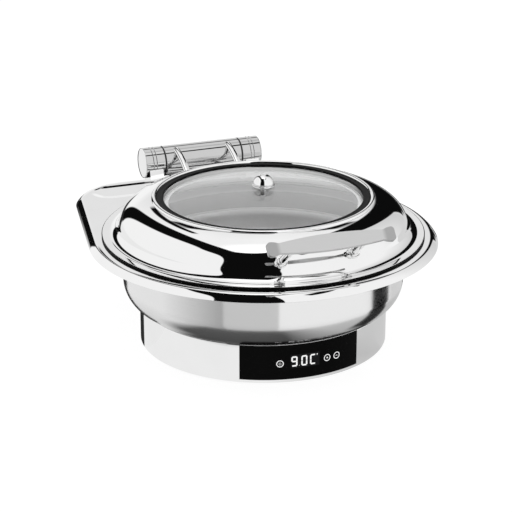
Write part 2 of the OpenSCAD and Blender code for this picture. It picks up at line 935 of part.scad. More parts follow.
// Two leads from the terminal block up to the heating element's terminals
module heater_leads() {
    tx = element_r * sin(terminal_angle);
    ty = element_r * cos(terminal_angle);
    tz = shield_z - terminal_drop;
    bx = block_l / 2 - heater_lead_inset;
    color("red")
        for (s = [-1, 1])
            lead([
                [s * bx, block_back, lead_z],
                [s * bx, block_back + lead_end_run, lead_z],
                [s * tx, ty, tz - terminal_drop],
                [s * tx, ty, tz]
            ]);
}

// Dish

// A round slab of radius r with a turned-down edge, and with its sheet's thickness taken off by inset
module rim_disc(r, inset) {
    edge = arc([r - rim_edge_w, rim_top - rim_edge_r], rim_edge_r - inset, 90 - rim_edge_turn, 90, 6);
    low = rim_low - (inset > 0 ? inset + past : 0);
    rotate_extrude($fn = rim_fn)
        polygon(concat([[0, low], [edge[0][0], low]], edge, [[0, rim_top - inset]]));
}

// The rim and its tongue as one slab: a large disc drawn together with the tongue's two corners
module rim_slab(inset) {
    hull() {
        rim_disc(rim_r, inset);
        for (s = [-1, 1])
            translate([s * corner_x, corner_y, 0])
                rim_disc(tongue_corner_r, inset);
    }
}

// The pressed recess's outline as a solid, grown by g: a block with a half round at each end
module recess_solid(g, z0, z1) {
    half_l = recess_l / 2 - recess_r;
    translate([-half_l, recess_y - recess_r - g, z0])
        cube([2 * half_l, 2 * (recess_r + g), z1 - z0]);
    for (s = [-1, 1])
        side(s)
            translate([half_l, recess_y, z0])
                rotate([0, 0, -90])
                    rotate_extrude(angle = 180)
                        square([recess_r + g, z1 - z0]);
}

module at_bracket_screws() {
    for (s = [-1, 1], y = bracket_screw_y)
        translate([s * bracket_x, y, recess_floor - pan_t])
            children();
}

// The bowl, with a ledge for the food pan and an upright step inside the rim
module water_pan() {
    corner = [pan_flat_r, pan_floor + pan_corner_r];
    color(satin)
        rotate_extrude()
            polygon(concat(
                [
                    [ledge_r, rim_top],
                    [step_r, rim_top],
                    [step_r, ledge_z - pan_t],
                    [pan_r, ledge_z - pan_t]
                ],
                arc(corner, pan_corner_r, 0, -90, 10),
                [[0, pan_floor], [0, pan_floor + pan_t]],
                arc(corner, pan_corner_r - pan_t, -90, 0, 10),
                [[pan_r - pan_t, ledge_z], [ledge_r, ledge_z]]));
}

// The polished rim and tongue: a pressed sheet round the bowl's step
module rim_frame() {
    color(polished)
        difference() {
            union() {
                difference() {
                    rim_slab(0);
                    rim_slab(pan_t);
                }
                recess_solid(pan_t, recess_floor - pan_t, rim_top - pan_t / 2);
            }
            recess_solid(0, recess_floor, rim_top + past);
            translate([0, 0, pan_floor])
                cylinder(h = pan_h + past, r = step_r + fit);
            at_bracket_screws()
                translate([0, 0, -past])
                    cylinder(h = pan_t + 2 * past, r = bracket_screw_r + fit);
        }
}

// A block between the recess's floor and the underside of the tube
module hinge_bracket() {
    difference() {
        translate([bracket_x - bracket_l / 2, 0, 0])
            rotate([90, 0, 90])
                linear_extrude(bracket_l)
                    polygon([
                        [bracket_front, recess_floor],
                        [bracket_rear, recess_floor],
                        [bracket_rear, hinge_z],
                        [hinge_y - tube_r + arm_sink, hinge_z],
                        [bracket_front, recess_floor + bracket_toe_h]
                    ]);
        hinge_rod(tube_r + fit, 0, tube_l);
        for (y = bracket_screw_y)
            translate([bracket_x, y, recess_floor - past])
                cylinder(h = past + bracket_screw_depth, r = bracket_screw_r + fit);
    }
}

module hinge_bracket_left() {
    color(polished)
        side(-1)
            hinge_bracket();
}

module hinge_bracket_right() {
    color(polished)
        hinge_bracket();
}

module bracket_screws() {
    color(satin)
        at_bracket_screws()
            screw(bracket_screw_r, pan_t + bracket_screw_depth - past, bracket_screw_head_r,
                bracket_screw_head_h);
}

// Fixed end of the hinge's tube, with a hub that holds the shaft
module hinge_sleeve() {
    difference() {
        union() {
            hinge_tube(bore_r, tube_r, sleeve_x0, sleeve_x1);
            hinge_tube(shaft_r + fit, bore_r + hub_root, sleeve_x0, sleeve_x0 + hub_l);
        }
        hinge_tube(tube_r - groove_depth, tube_r + past, groove_x, groove_x + groove_w);
    }
}

module hinge_sleeve_left() {
    color(polished)
        side(-1)
            hinge_sleeve();
}

module hinge_sleeve_right() {
    color(polished)
        hinge_sleeve();
}

module hinge_cap() {
    hinge_rod(tube_r, sleeve_x1, sleeve_x1 + cap_t);
    hinge_rod(bore_r - fit, sleeve_x1 - cap_spigot_l, sleeve_x1);
}

module hinge_cap_left() {
    color(polished)
        side(-1)
            hinge_cap();
}

module hinge_cap_right() {
    color(polished)
        hinge_cap();
}

module hinge_washer_left() {
    color(black)
        side(-1)
            hinge_tube(shaft_r + fit, tube_r, washer_x, washer_x + washer_t);
}

module hinge_washer_right() {
    color(black)
        hinge_tube(shaft_r + fit, tube_r, washer_x, washer_x + washer_t);
}

module hinge_shaft() {
    color(satin)
        hinge_rod(shaft_r, -shaft_x, shaft_x);
}

// Soft-close damper round the shaft, beside the right-hand bush
module damper_cartridge() {
    color(dark)
        hinge_tube(shaft_r + fit, damper_r, bush_x - 1 - damper_l, bush_x - 1);
}

// Coil spring round the shaft, wound as one tube of six sides
spring_sides = 6;
spring_rings_per_turn = 8;
spring_gap = 0.4;
spring_r = (shaft_r + spring_gap + spring_wire_d / 2) / cos(180 / spring_rings_per_turn);
spring_rings = spring_turns * spring_rings_per_turn;
spring_start = -bush_x + 1 + spring_wire_d / 2;
function spring_ring_point(i, k) = let (
        a = 360 * i / spring_rings_per_turn,
        b = 360 * k / spring_sides,
        r = spring_r + spring_wire_d / 2 * cos(b))
    [
        spring_start + spring_pitch * i / spring_rings_per_turn + spring_wire_d / 2 * sin(b),
        hinge_y + r * cos(a),
        hinge_z + r * sin(a)
    ];
module lift_spring() {
    points = [for (i = [0:spring_rings], k = [0:spring_sides - 1]) spring_ring_point(i, k)];
    last = spring_rings * spring_sides;
    sides = [for (i = [0:spring_rings - 1], k = [0:spring_sides - 1]) let (
            p = i * spring_sides + k,
            q = i * spring_sides + (k + 1) % spring_sides)
        each [[p, q, q + spring_sides], [p, q + spring_sides, p + spring_sides]]];
    start_face = [for (k = [1:spring_sides - 2]) [0, k + 1, k]];
    end_face = [for (k = [1:spring_sides - 2]) [last, last + k, last + k + 1]];
    echo(least_gap = spring_pitch - spring_wire_d);
    color(dark)
        polyhedron(points, concat(sides, start_face, end_face));
}

module food_pan() {
    flat_r = food_r - food_corner_r;
    corner = [flat_r, food_floor + food_corner_r];
    color(satin)
        rotate_extrude()
            polygon(concat(
                [[food_rim_d / 2, ledge_z], [food_rim_d / 2, food_top], [food_r, food_top]],
                arc(corner, food_corner_r, 0, -90, 10),
                [[0, food_floor], [0, food_floor - food_t]],
                arc(corner, food_corner_r + food_t, -90, 0, 10),
                [[food_r + food_t, ledge_z]]));
}

// Lid

// The axis of a handle post: the children's Z runs from the bar towards the lid
module on_post(s) {
    translate([s * post_x, handle_y, handle_z])
        rotate([-90 - handle_tilt, 0, 0])
            children();
}

// The axis of an arm's foot: the children's Z runs from the arm towards the inside of the lid
module on_arm_foot(s) {
    translate([s * arm_x, arm_foot[0], arm_foot[1]])
        rotate([90 + arm_end_angle, 0, 0])
            children();
}

module on_lid_axis(kind, s) {
    if (kind == "post")
        on_post(s)
            children();
    else
        on_arm_foot(s)
            children();
}

// How far along its axis a lid screw's tip lies
function screw_tip(kind) = kind == "post" ? post_start + post_grip : -arm_grip;

// How far a lid screw's axis runs on from there, to a place well inside the lid
function screw_run(kind) = kind == "post" ? post_run - post_grip : 3 * arm_grip;

// The hole for a lid screw, through the dome and into its post or arm
module lid_screw_bore(kind, s) {
    on_lid_axis(kind, s)
        translate([0, 0, screw_tip(kind) - past])
            cylinder(h = screw_run(kind), r = lid_screw_r + fit);
}

// A round foot on the dome, still to be cut to the dome's surface
module dome_foot_disc(kind, s) {
    intersection() {
        on_lid_axis(kind, s)
            translate([0, 0, screw_tip(kind)])
                cylinder(h = screw_run(kind), r = post_foot_d / 2);
        dome_solid(fit + post_foot_t);
    }
}

// Screws whose heads hug the inside of the dome, one for each side
module lid_screws(kind) {
    inside = -lid_t - fit;
    for (s = [-1, 1])
        difference() {
            union() {
                on_lid_axis(kind, s)
                    translate([0, 0, screw_tip(kind)])
                        cylinder(h = screw_run(kind), r = lid_screw_r);
                intersection() {
                    on_lid_axis(kind, s)
                        translate([0, 0, screw_tip(kind)])
                            cylinder(h = screw_run(kind), r = lid_screw_head_r);
                    dome_solid(inside);
                }
            }
            dome_solid(inside - lid_screw_head_h);
        }
}

// The lid's flange, flared up to the dome
module lid_rim() {
    edge = lid_r - lid_seal_wall;
    color(polished)
        rotate_extrude()
            polygon(concat(
                [[edge, lid_flange_bottom], [edge, lid_flange_top]],
                dome_foot(0),
                reversed(dome_foot(-lid_t))));
}

// The soft seal under the lid's flange, with a lip that covers the flange's edge
module lid_seal() {
    color(rubber)
        rotate_extrude()
            polygon([
                [lid_r - lid_seal_w, lid_seal_z],
                [lid_r, lid_seal_z],
                [lid_r, lid_seal_top],
                [lid_r - lid_seal_wall, lid_seal_top],
                [lid_r - lid_seal_wall, lid_flange_bottom],
                [lid_r - lid_seal_w, lid_flange_bottom]
            ]);
}

// The dome between the flange and the window's ring
module lid_shell() {
    color(polished)
        difference() {
            rotate_extrude()
                polygon(concat(
                    dome_curve(0),
                    [[bead_outer_r - lid_t, bead_z]],
                    reversed(dome_curve(-lid_t))));
            for (kind = ["post", "arm"], s = [-1, 1])
                lid_screw_bore(kind, s);
        }
}

// The rounded bead round the window, with the seat that carries the gasket
module window_ring() {
    color(polished)
        rotate_extrude()
            polygon(concat(
                arc([bead_c, bead_z], bead_r, 0, 180, 10),
                [
                    [seat_r, seat_z],
                    [seat_r - seat_w, seat_z],
                    [seat_r - seat_w, seat_z - lid_t],
                    [seat_r + lid_t, seat_z - lid_t]
                ],
                arc([bead_c, bead_z], bead_r - lid_t, 180, 0, 8)));
}

module glass_pane() {
    color("lightblue", 0.4)
        intersection() {
            translate([0, 0, glass_c])
                difference() {
                    sphere(r = glass_sphere_r, $fn = sphere_fn);
                    sphere(r = glass_sphere_r - glass_t, $fn = sphere_fn);
                }
            difference() {
                translate([0, 0, seat_z])
                    cylinder(h = glass_top - seat_z + past, r = glass_r);
                translate([0, 0, seat_z - past])
                    cylinder(h = glass_top - seat_z + 3 * past, r = stem_r + fit);
            }
        }
}

// A ring of U section that holds the edge of the glass in the lid's seat
module glass_gasket() {
    edge_z = glass_top - glass_edge_drop;
    inner_drop = glass_sphere_r - sqrt(glass_sphere_r ^ 2 - gasket_r0 ^ 2);
    inner_z = glass_top - inner_drop;
    color(black)
        rotate_extrude()
            polygon(concat(
                [
                    [gasket_r0, seat_z],
                    [gasket_r1, seat_z]
                ],
                arc([gasket_r1 - gasket_round, gasket_top - gasket_round], gasket_round, 0, 90, 4),
                arc([gasket_r0 + gasket_round, gasket_top - gasket_round], gasket_round, 90, 180, 4),
                [
                    [gasket_r0, inner_z + fit],
                    [glass_r + fit, edge_z + fit],
                    [glass_r + fit, glass_under - fit],
                    [gasket_r0, glass_under - fit]
                ]));
}

module vent_knob() {
    color(polished)
        difference() {
            rotate_extrude()
                polygon(concat(
                    [
                        [0, stem_end],
                        [stem_r, stem_end],
                        [stem_r, knob_z],
                        [knob_r, knob_z],
                        [knob_r, knob_z + knob_flange_h]
                    ],
                    [for (i = [0:10]) let (t = 90 * i / 10)
                        [(knob_r - knob_shoulder) * cos(t),
                            knob_z + knob_flange_h + (knob_h - knob_flange_h) * sin(t)]]));
            translate([0, 0, stem_end - past])
                cylinder(h = knob_z - stem_end, r = stem_r / 3);
        }
}

module vent_washer() {
    color(rubber)
        ring(stem_r + fit, vent_washer_r, glass_top, knob_z);
}

module vent_nut() {
    color(satin)
        difference() {
            translate([0, 0, glass_top - glass_t - nut_h - fit])
                cylinder(h = nut_h, r = nut_r, $fn = 6);
            translate([0, 0, stem_end - past])
                cylinder(h = nut_h + glass_t + 2 * past, r = stem_r + fit);
        }
}

// A flat bar, wide in the middle, with necks and flared round ends
module handle_bar() {
    steps = 20;
    end_x = handle_l / 2 - handle_end_r;
    corner = [end_x, handle_end_w / 2 - handle_end_r];
    upper = concat(
        [for (i = [0:steps - 1]) let (x = end_x * i / steps) [x, handle_half_w(x)]],
        arc(corner, handle_end_r, 90, 0, 4));
    right = concat(upper, [for (p = reversed(upper)) [p[0], -p[1]]]);
    left = [for (p = reversed(right)) [-p[0], p[1]]];
    color(satin)
        translate([0, handle_y, handle_z])
            rotate([-90 - handle_tilt, 0, 0])
                translate([0, 0, -handle_t / 2])
                    linear_extrude(handle_t)
                        polygon(concat(right, left));
}

// A round post with a foot, cut to the dome, and bored for its screw
module handle_post(s) {
    difference() {
        union() {
            on_post(s)
                translate([0, 0, post_start])
                    cylinder(h = post_run, r = post_d / 2);
            dome_foot_disc("post", s);
        }
        dome_solid(fit);
        lid_screw_bore("post", s);
    }
}

module handle_post_left() {
    color(satin)
        handle_post(-1);
}

module handle_post_right() {
    color(satin)
        handle_post(1);
}

module handle_screws() {
    color(satin)
        lid_screws("post");
}

module hinge_barrel() {
    color(polished)
        hinge_tube(bore_r, tube_r, -barrel_x, barrel_x);
}

module hinge_bush_left() {
    color(brass)
        hinge_tube(shaft_r + running_gap, bore_r - fit, -barrel_x, -bush_x);
}

module hinge_bush_right() {
    color(brass)
        hinge_tube(shaft_r + running_gap, bore_r - fit, bush_x, barrel_x);
}

// A bowed strap from the barrel to the dome, with a boss and a round foot
module hinge_arm(s) {
    strap = concat(
        [for (i = [0:arm_steps]) arm_side(i / arm_steps, 1)],
        [for (i = [arm_steps:-1:0]) arm_side(i / arm_steps, -1)]);
    difference() {
        union() {
            translate([s * arm_x - arm_w / 2, 0, 0])
                rotate([90, 0, 90])
                    linear_extrude(arm_w)
                        polygon(strap);
            on_arm_foot(s)
                translate([0, 0, -arm_boss_l])
                    cylinder(h = 2 * arm_boss_l, r = arm_boss_r);
            dome_foot_disc("arm", s);
        }
        dome_solid(fit);
        hinge_rod(tube_r + fit, -tube_l, tube_l);
        lid_screw_bore("arm", s);
    }
}

module hinge_arm_left() {
    color(polished)
        hinge_arm(-1);
}

module hinge_arm_right() {
    color(polished)
        hinge_arm(1);
}

module arm_screws() {
    color(satin)
        lid_screws("arm");
}

stand_shell();
bottom_cover();
cover_screws();
foot_ring();
heating_plate();
plate_seal();
heating_element();
heat_shield();
plate_standoffs();
standoff_screws();
thermostat();
power_board();
power_components();
board_pillars();
control_panel();
panel_carrier();
control_board();
led_display();
touch_springs();
panel_ribbon();
power_inlet();
inlet_pins();
mains_leads();
heater_leads();
water_pan();
rim_frame();
hinge_bracket_left();
hinge_bracket_right();
bracket_screws();
hinge_sleeve_left();
hinge_sleeve_right();
hinge_cap_left();
hinge_cap_right();
hinge_washer_left();
hinge_washer_right();
hinge_shaft();
damper_cartridge();
lift_spring();
food_pan();
lid_rim();
lid_seal();
lid_shell();
window_ring();
glass_pane();
glass_gasket();
vent_knob();
vent_washer();
vent_nut();
handle_bar();
handle_post_left();
handle_post_right();
handle_screws();
hinge_barrel();
hinge_bush_left();
hinge_bush_right();
hinge_arm_left();
hinge_arm_right();
arm_screws();
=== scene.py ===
"""Electric chafing dish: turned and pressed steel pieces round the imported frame, in a white studio."""

import json
import math

import bpy
from mathutils import Matrix, Vector


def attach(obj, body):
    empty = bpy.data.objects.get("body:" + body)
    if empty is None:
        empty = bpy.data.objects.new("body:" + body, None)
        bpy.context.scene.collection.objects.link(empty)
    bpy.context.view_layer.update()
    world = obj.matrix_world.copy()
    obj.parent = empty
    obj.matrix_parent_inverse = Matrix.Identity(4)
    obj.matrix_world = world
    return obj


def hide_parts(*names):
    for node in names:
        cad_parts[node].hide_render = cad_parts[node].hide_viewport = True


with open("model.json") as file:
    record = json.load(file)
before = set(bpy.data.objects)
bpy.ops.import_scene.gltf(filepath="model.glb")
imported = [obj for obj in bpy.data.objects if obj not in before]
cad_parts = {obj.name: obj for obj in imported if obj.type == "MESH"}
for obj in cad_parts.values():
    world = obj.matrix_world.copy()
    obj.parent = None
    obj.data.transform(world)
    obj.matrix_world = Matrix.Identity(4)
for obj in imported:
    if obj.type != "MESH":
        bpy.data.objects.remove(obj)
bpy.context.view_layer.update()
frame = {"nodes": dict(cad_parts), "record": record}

MM = 0.001
TURN = 2 * math.pi

# Stand sizes, in millimetres as in the part's source
STAND_R = 157.0
STAND_T = 1.0
STAND_Z0 = 2.0
STAND_TOP = 50.6
STAND_EDGE = 1.0
DECK_TOP = 46.79
DECK_HOLE_R = 112.0
DECK_LAND = 2.0
PANEL_ANGLE = 28.7
PANEL_TURN = math.radians(-2.9)
PANEL_Z0 = 5.7
PANEL_Z1 = 50.2
PANEL_T = 1.6
PANEL_CORNER = 2.4
PANEL_GAP = 0.15
PANEL_EASE = 0.25
INLET_ANGLE = 5.0
INLET_Z = 24.9
INLET_HALF_H = 10.6
STAND_STEPS = 288

# Pan, rim and food pan sizes
PAN_R = 177.5
PAN_CORNER = 35.0
PAN_FADE = PAN_CORNER * 0.7
PAN_FLOOR = 48.292
PAN_T = 1.2
PAN_EASE = 0.5
PAN_RING_R = 60.0
RIM_TOP = PAN_FLOOR + 92.0
RIM_R = 220.0
RIM_EDGE_R = 17.5
RIM_EDGE_TURN = 61.0
RIM_EDGE = RIM_EDGE_R * math.sin(math.radians(RIM_EDGE_TURN))
RIM_LOW = RIM_TOP - RIM_EDGE_R * (1.0 - math.cos(math.radians(RIM_EDGE_TURN)))
RIM_SHOULDER_R = 34.0
RIM_SHOULDER_TURN = 12.0
RIM_BEND_R = 4.0
RIM_BEND_TURN = 40.0
RIM_BULGE = 0.45
RIM_BULGE_LEAN = 0.7
RIM_SKIRT_STEPS = 8
RIM_DECK_ROWS = 60
RIM_HOLE_R = 200.25
LEDGE_R = 199.0
LEDGE_Z = RIM_TOP - 4.0
TONGUE_R = 80.0
TONGUE_X = 109.5
TONGUE_Y = 184.0
RECESS_R = 28.0
RECESS_HALF = 135.0
RECESS_Y = 219.0
RECESS_DEPTH = 1.6
RECESS_WALL = 13.0
FOOD_R = 169.0
FOOD_TOP = LEDGE_Z + 1.0
FOOD_FLOOR = FOOD_TOP - 62.0
FOOD_RIM_R = 196.5
FOOD_T = 1.0
FOOD_RING_R = 70.0
FOOD_STEP = 3.0
FOOD_STEP_DEPTH = 25.0

# Lid sizes
LID_R = 203.0
LID_T = 1.2
LID_TOP = RIM_TOP + 3.4
LID_BOTTOM = LID_TOP - LID_T
EDGE_RING_Z = RIM_TOP + 0.3
EDGE_RING_W = 3.4
EDGE_RING_WALL = 0.8
EDGE_RING_TOP = LID_TOP - 0.4
DOME_Z = RIM_TOP + 11.0
DOME_RUN = 60.0
DOME_RISE = 37.5
DOME_R = 182.0
DOME_C = DOME_R - DOME_RUN
FLARE_ANGLE = math.radians(6.5)
FLARE_TILT = math.atan(DOME_RUN / DOME_RISE * math.tan(FLARE_ANGLE))
FLARE_END = (DOME_C + DOME_RUN * math.cos(FLARE_ANGLE), DOME_Z + DOME_RISE * math.sin(FLARE_ANGLE))
FLARE_R = (FLARE_END[1] - LID_TOP) / (1.0 - math.sin(FLARE_TILT))
FLARE_AT = (FLARE_END[0] + FLARE_R * math.cos(FLARE_TILT), FLARE_END[1] + FLARE_R * math.sin(FLARE_TILT))
BEAD_R = 3.0
BEAD_C = 137.0
BEAD_START = 12.0
BEAD_ANGLE = math.acos((BEAD_C + BEAD_R - DOME_C) / DOME_RUN)
BEAD_Z = DOME_Z + DOME_RISE * math.sin(BEAD_ANGLE)
SEAT_R = 134.0
SEAT_Z = BEAD_Z - 7.0
SEAT_IN = 119.0
GASKET_R0 = 125.0
GASKET_R1 = 133.95
GASKET_PROUD = 1.4
GASKET_BED = 1.2
GLASS_R = 131.15
GLASS_T = 4.0
GLASS_BED = 1.25
GLASS_RISE = 12.8
GLASS_SPHERE = (GASKET_R0 ** 2 + GLASS_RISE ** 2) / (2 * GLASS_RISE)
GLASS_EDGE_DROP = GLASS_SPHERE - math.sqrt(GLASS_SPHERE ** 2 - GLASS_R ** 2)
GLASS_TOP = SEAT_Z + GLASS_BED + GLASS_T + GLASS_EDGE_DROP
GASKET_TOP = GLASS_TOP - GLASS_RISE + GASKET_PROUD
KNOB_R = 14.0
KNOB_H = 15.0
KNOB_STEM_L = 11.0
KNOB_Z = GLASS_TOP + 1.0

# Handle sizes
POST_X = 46.0
POST_R = 4.5
POST_FOOT_R = 7.5
POST_L = 51.6
POST_ANGLE = math.radians(24.8)
HANDLE_TILT = math.radians(39.0)
POST_FOOT = (
    -(DOME_C + DOME_RUN * math.cos(POST_ANGLE)),
    DOME_Z + DOME_RISE * math.sin(POST_ANGLE),
)
HANDLE_L = 158.0
HANDLE_T = 6.0
HANDLE_ROUND = 1.8
HANDLE_MID = 10.0
HANDLE_NECK = 6.0
HANDLE_END = 8.5
HANDLE_END_R = 4.0
HANDLE_NECK_X = 64.6

# Hinge sizes
HINGE_Y = 240.0
HINGE_Z = RIM_TOP + 27.7
TUBE_R = 20.5
TUBE_WALL = 3.5
BARREL_X = 54.0
SLEEVE_X0 = 55.6
SLEEVE_X1 = 82.5
CAP_X = 84.5
GROOVE_X = 67.7
GROOVE_STEP = 4.5
ARM_X = 37.0
ARM_W = 9.0
ARM_T = 5.0
ARM_BOW = 4.0
ARM_ROOT_IN = 2.0
ARM_ROOT_ANGLE = math.radians(112.0)
ARM_FOOT_ANGLE = math.radians(17.0)

# Display and key marks on the panel
MARK_T = 0.12
MARK_ROUND = 0.35
DIGIT_W = 7.8
DIGIT_H = 13.4
DIGIT_Z = 28.3
SEGMENT_T = 1.9
SEGMENT_GAP = 0.5
SEGMENT_PLACES = {
    "a": (0.0, 1.0, True),
    "b": (1.0, 0.5, False),
    "c": (1.0, -0.5, False),
    "d": (0.0, -1.0, True),
    "e": (-1.0, -0.5, False),
    "f": (-1.0, 0.5, False),
    "g": (0.0, 0.0, True),
}
DIGITS = [(-11.9, "abcdfg"), (0.6, "abcdef"), (11.8, "adef")]
POINT_X = -5.6
POINT_SIZE = (0.7, 0.7)
DEGREE_X = 17.3
DEGREE_SIZE = (1.2, 1.6)
WINDOW_X = 2.0
WINDOW_SIZE = (37.0, 17.6)
ICON_Z = 26.5
ICON_R = 4.5
ICON_LINE = 0.95
POWER_AT = -29.6
POWER_R = 1.5
POWER_LINE = 0.35
POWER_OPENING = 90.0
POWER_DROP = 0.3
POWER_BAR_RISE = 1.0
POWER_BAR = (0.5, 1.6)
PLUS_AT = 31.2
PLUS_L = 2.4
PLUS_T = 0.8
MINUS_AT = 44.9
MINUS_BAR = (2.6, 0.7)

# Camera, from the photograph's fit
CAM_AZIMUTH = -0.36586
CAM_HEIGHT_ANGLE = 0.35912
CAM_DISTANCE = 2282.6
CAM_FOCAL = 1800.0
CAM_OFFSET = (7.108, 3.347)
CAM_TARGET_Z = 102.0
CAM_SENSOR = 36.0
PICTURE = 512

# Floor as polished steel shows it, in metres to the camera's right and towards the camera.
# A pair here and in the studio is an edge and the width of its soft step.
FLOOR_SIZE = 24.0
FLOOR_PAINT = 0.9
FLOOR_SEEN = 1.08
FLOOR_SEEN_SHARE = 0.86
FLOOR_TONE = 0.94
FLOOR_SHOWN = (0.272, 0.02)
FLOOR_RIGHT = (0.06, 0.12)
FLOOR_RIGHT_FADE = 0.3
BEHIND_LEAN = 0.3
BEHIND_EDGE = (0.0, 0.006)
BEHIND_RIGHT = (-0.1, 0.01)
FRONT_SLANT = (0.43, 0.14)
FRONT_NEAR = (0.1, 0.05)
FRONT_LEFT = (-0.17, 0.06)
FRONT_RIGHT = (0.085, 0.09)
FRONT_SHADE = 0.88
STRIPE_SLANT = (0.56, 0.1)
STRIPE_NEAR = (0.1416, 0.01)
STRIPE_NEAR_LEAN = 0.198
STRIPE_FAR = (0.0992, 0.01)
STRIPE_FAR_LEAN = 0.354
STRIPE_LEFT = (0.14, 0.03)
STRIPE_DARK = 0.95

# Studio above the horizon, in degrees of azimuth from the camera, right positive, and of height
DEGREES = 180.0 / math.pi
HORIZON = (-1.5, 3.0)
LEFT_BOX_AT = -90.0
LEFT_BOX_HALF = 57.5
LEFT_BOX_TOP = 61.0
LEFT_BOX_EDGE = (1.0, 0.05)
LEFT_BOX_SIDE = (0.0, 0.2)
LEFT_BOX_POWER = 2.2
LEFT_BOX_SQUARER = 1.8
ARCH_AT = -60.0
ARCH_HALF = 98.0
ARCH_TOP = 75.0
ARCH_RISE = 7.0
ARCH_RISE_SPAN = (-24.0, 73.0)
ARCH_POWER = 3.0
ARCH_EDGE = (1.0, 0.03)
GAP_RIGHT = 12.5
GAP_LEAN = 3.5
GAP_LEAN_SPAN = (22.0, 44.0)
GAP_EDGE = (0.0, 0.7)
STRIP_IN = 153.0
STRIP_IN_LEAN = 10.0
STRIP_IN_SPAN = (28.0, 27.0)
STRIP_OUT = 174.0
STRIP_OUT_LEAN = 15.0
STRIP_OUT_SPAN = (24.0, 48.0)
STRIP_EDGE = (0.0, 1.0)
STRIP_TOP = (49.0, 2.0)
SEAM_AT = -168.0
SEAM_HEIGHT = 19.0
SEAM_LEAN = 11.0 / 31.0
SEAM_HALF = (1.8, 0.8)
SEAM_LOW = (23.0, 2.0)
SEAM_HIGH = (50.0, 2.0)
RAIL_LOW = (34.0, 1.5)
RAIL_HIGH = (42.0, 1.5)
RAIL_SIDE = (163.0, 4.0)
BATTEN_HEIGHT = 65.5
BATTEN_HALF = (3.0, 1.0)
BATTEN_LEFT = (50.0, 2.0)
BATTEN_RIGHT = (92.0, 2.0)
GAP_TONE = 0.004
FADE_LEFT = (130.0, 50.0)
FADE_RIGHT = (153.0, 4.0)
FADE = 0.35
REAR_SIDE = (160.0, 20.0)
REAR_LOW = (13.0, 6.0)
REAR_HIGH = (40.0, 40.0)
REAR_FADE = 0.15
OVERHEAD = (78.0, 16.0)
OVERHEAD_GLOW = 0.6

# Studio below the horizon, and the plain light on matt faces
LOW_LEFT = (-32.5, 0.7)
LOW_LEFT_RAMP = (-61.0, 58.0)
LOW_LEFT_GAIN = 0.5
LOW_LEFT_TONE = 0.42
LOW_RIGHT = (12.5, 0.7)
LOW_RIGHT_BACK = (127.0, 1.5)
LOW_RIGHT_FADE = 0.27
LOW_FRONT_TONE = 0.68
LOW_STRIPE_LEFT = (99.5, 1.5)
LOW_STRIPE_RIGHT = (123.5, 1.5)
LOW_STRIPE_TOP = (-12.0, 2.0)
BACK_LEFT = (-149.0, 1.5)
BACK_LEFT_END = (-167.0, 2.0)
BACK_LEFT_TOP = (-12.0, 2.0)
BACK_RIGHT = (163.0, 2.0)
BACK_RIGHT_TOP = (-9.0, 2.0)
STRIP_FOOT_LEFT = (157.0, 1.5)
STRIP_FOOT_RIGHT = (174.0, 2.0)
STRIP_FOOT_LOW = (-6.5, 1.0)
BACK_DARK = 0.97
PLAIN_HIGH = (40.0, 20.0)
PLAIN_GAIN = 1.05
PLAIN_TONE = 0.4

# Finishes: shares of a tone, and steps of roughness
HAZE_TONE = 0.97
HAZE_ROUGH = 0.025
SKIN_TONE = 0.95
SKIN_ROUGH = 0.45
SKIN_DULL = 0.7
BRUSH_LINES = 2600.0
BRUSH_FLOW = 6.0
BRUSH_TONE = 0.94
BRUSH_ROUGH = 0.08
CLOUD_ROUGH = 0.05
MOULD_TONE = 0.82
MOULD_CLOUD_ROUGH = 0.1
MOULD_SPECK_ROUGH = 0.06
MOULD_GRAIN = 3e-5
CAST_TONE = 0.8
CAST_ROUGH = 0.15
CAST_ROUGH_MEAN = 0.08
GLASS_HAZE_ROUGH = 0.012
GLASS_POWER = 4.0
GLASS_FACING = 0.04
PANEL_ROUGH = 0.06
MARK_TONE = 0.9


# Shader building

class Shade:
    """A socket in a node tree. Sums and products of sockets and numbers add Math nodes."""

    def __init__(self, tree, socket):
        self.tree = tree
        self.socket = socket

    def math(self, operation, first, second=None):
        values = {0: first} if second is None else {0: first, 1: second}
        return put(self.tree, "ShaderNodeMath", {"operation": operation}, values)

    def __add__(self, other):
        return self.math("ADD", self, other)

    def __radd__(self, other):
        return self.math("ADD", other, self)

    def __sub__(self, other):
        return self.math("SUBTRACT", self, other)

    def __rsub__(self, other):
        return self.math("SUBTRACT", other, self)

    def __mul__(self, other):
        return self.math("MULTIPLY", self, other)

    def __rmul__(self, other):
        return self.math("MULTIPLY", other, self)

    def __truediv__(self, other):
        return self.math("DIVIDE", self, other)

    def __pow__(self, other):
        return self.math("POWER", self, other)

    def __abs__(self):
        return self.math("ABSOLUTE", self)

    def over(self, edge, soft):
        """0 below an edge and 1 above it, with a soft step between."""
        ramp = (self - edge) / soft + 0.5
        return self.math("MINIMUM", self.math("MAXIMUM", ramp, 0.0), 1.0)

    def under(self, edge, soft):
        return 1.0 - self.over(edge, soft)

    def within(self, low, high):
        """1 between two edges, each a pair with its softness."""
        return self.over(*low) * self.under(*high)


def put(tree, kind, settings, sockets, out=0):
    """Adds a node: its settings first, then the values or links of its sockets."""
    node = tree.nodes.new(kind)
    for key, value in settings.items():
        setattr(node, key, value)
    for key, value in sockets.items():
        if isinstance(value, Shade):
            tree.links.new(value.socket, node.inputs[key])
        else:
            node.inputs[key].default_value = value
    return Shade(tree, node.outputs[out])


def split(tree, vector):
    """The three numbers of a vector socket."""
    node = tree.nodes.new("ShaderNodeSeparateXYZ")
    tree.links.new(vector.socket, node.inputs[0])
    return [Shade(tree, output) for output in node.outputs]


def blend(tree, share, first, second):
    """A colour between two colours."""
    settings = {"data_type": "RGBA"}
    sockets = {0: share, 6: first, 7: second}
    return put(tree, "ShaderNodeMix", settings, sockets, out=2)


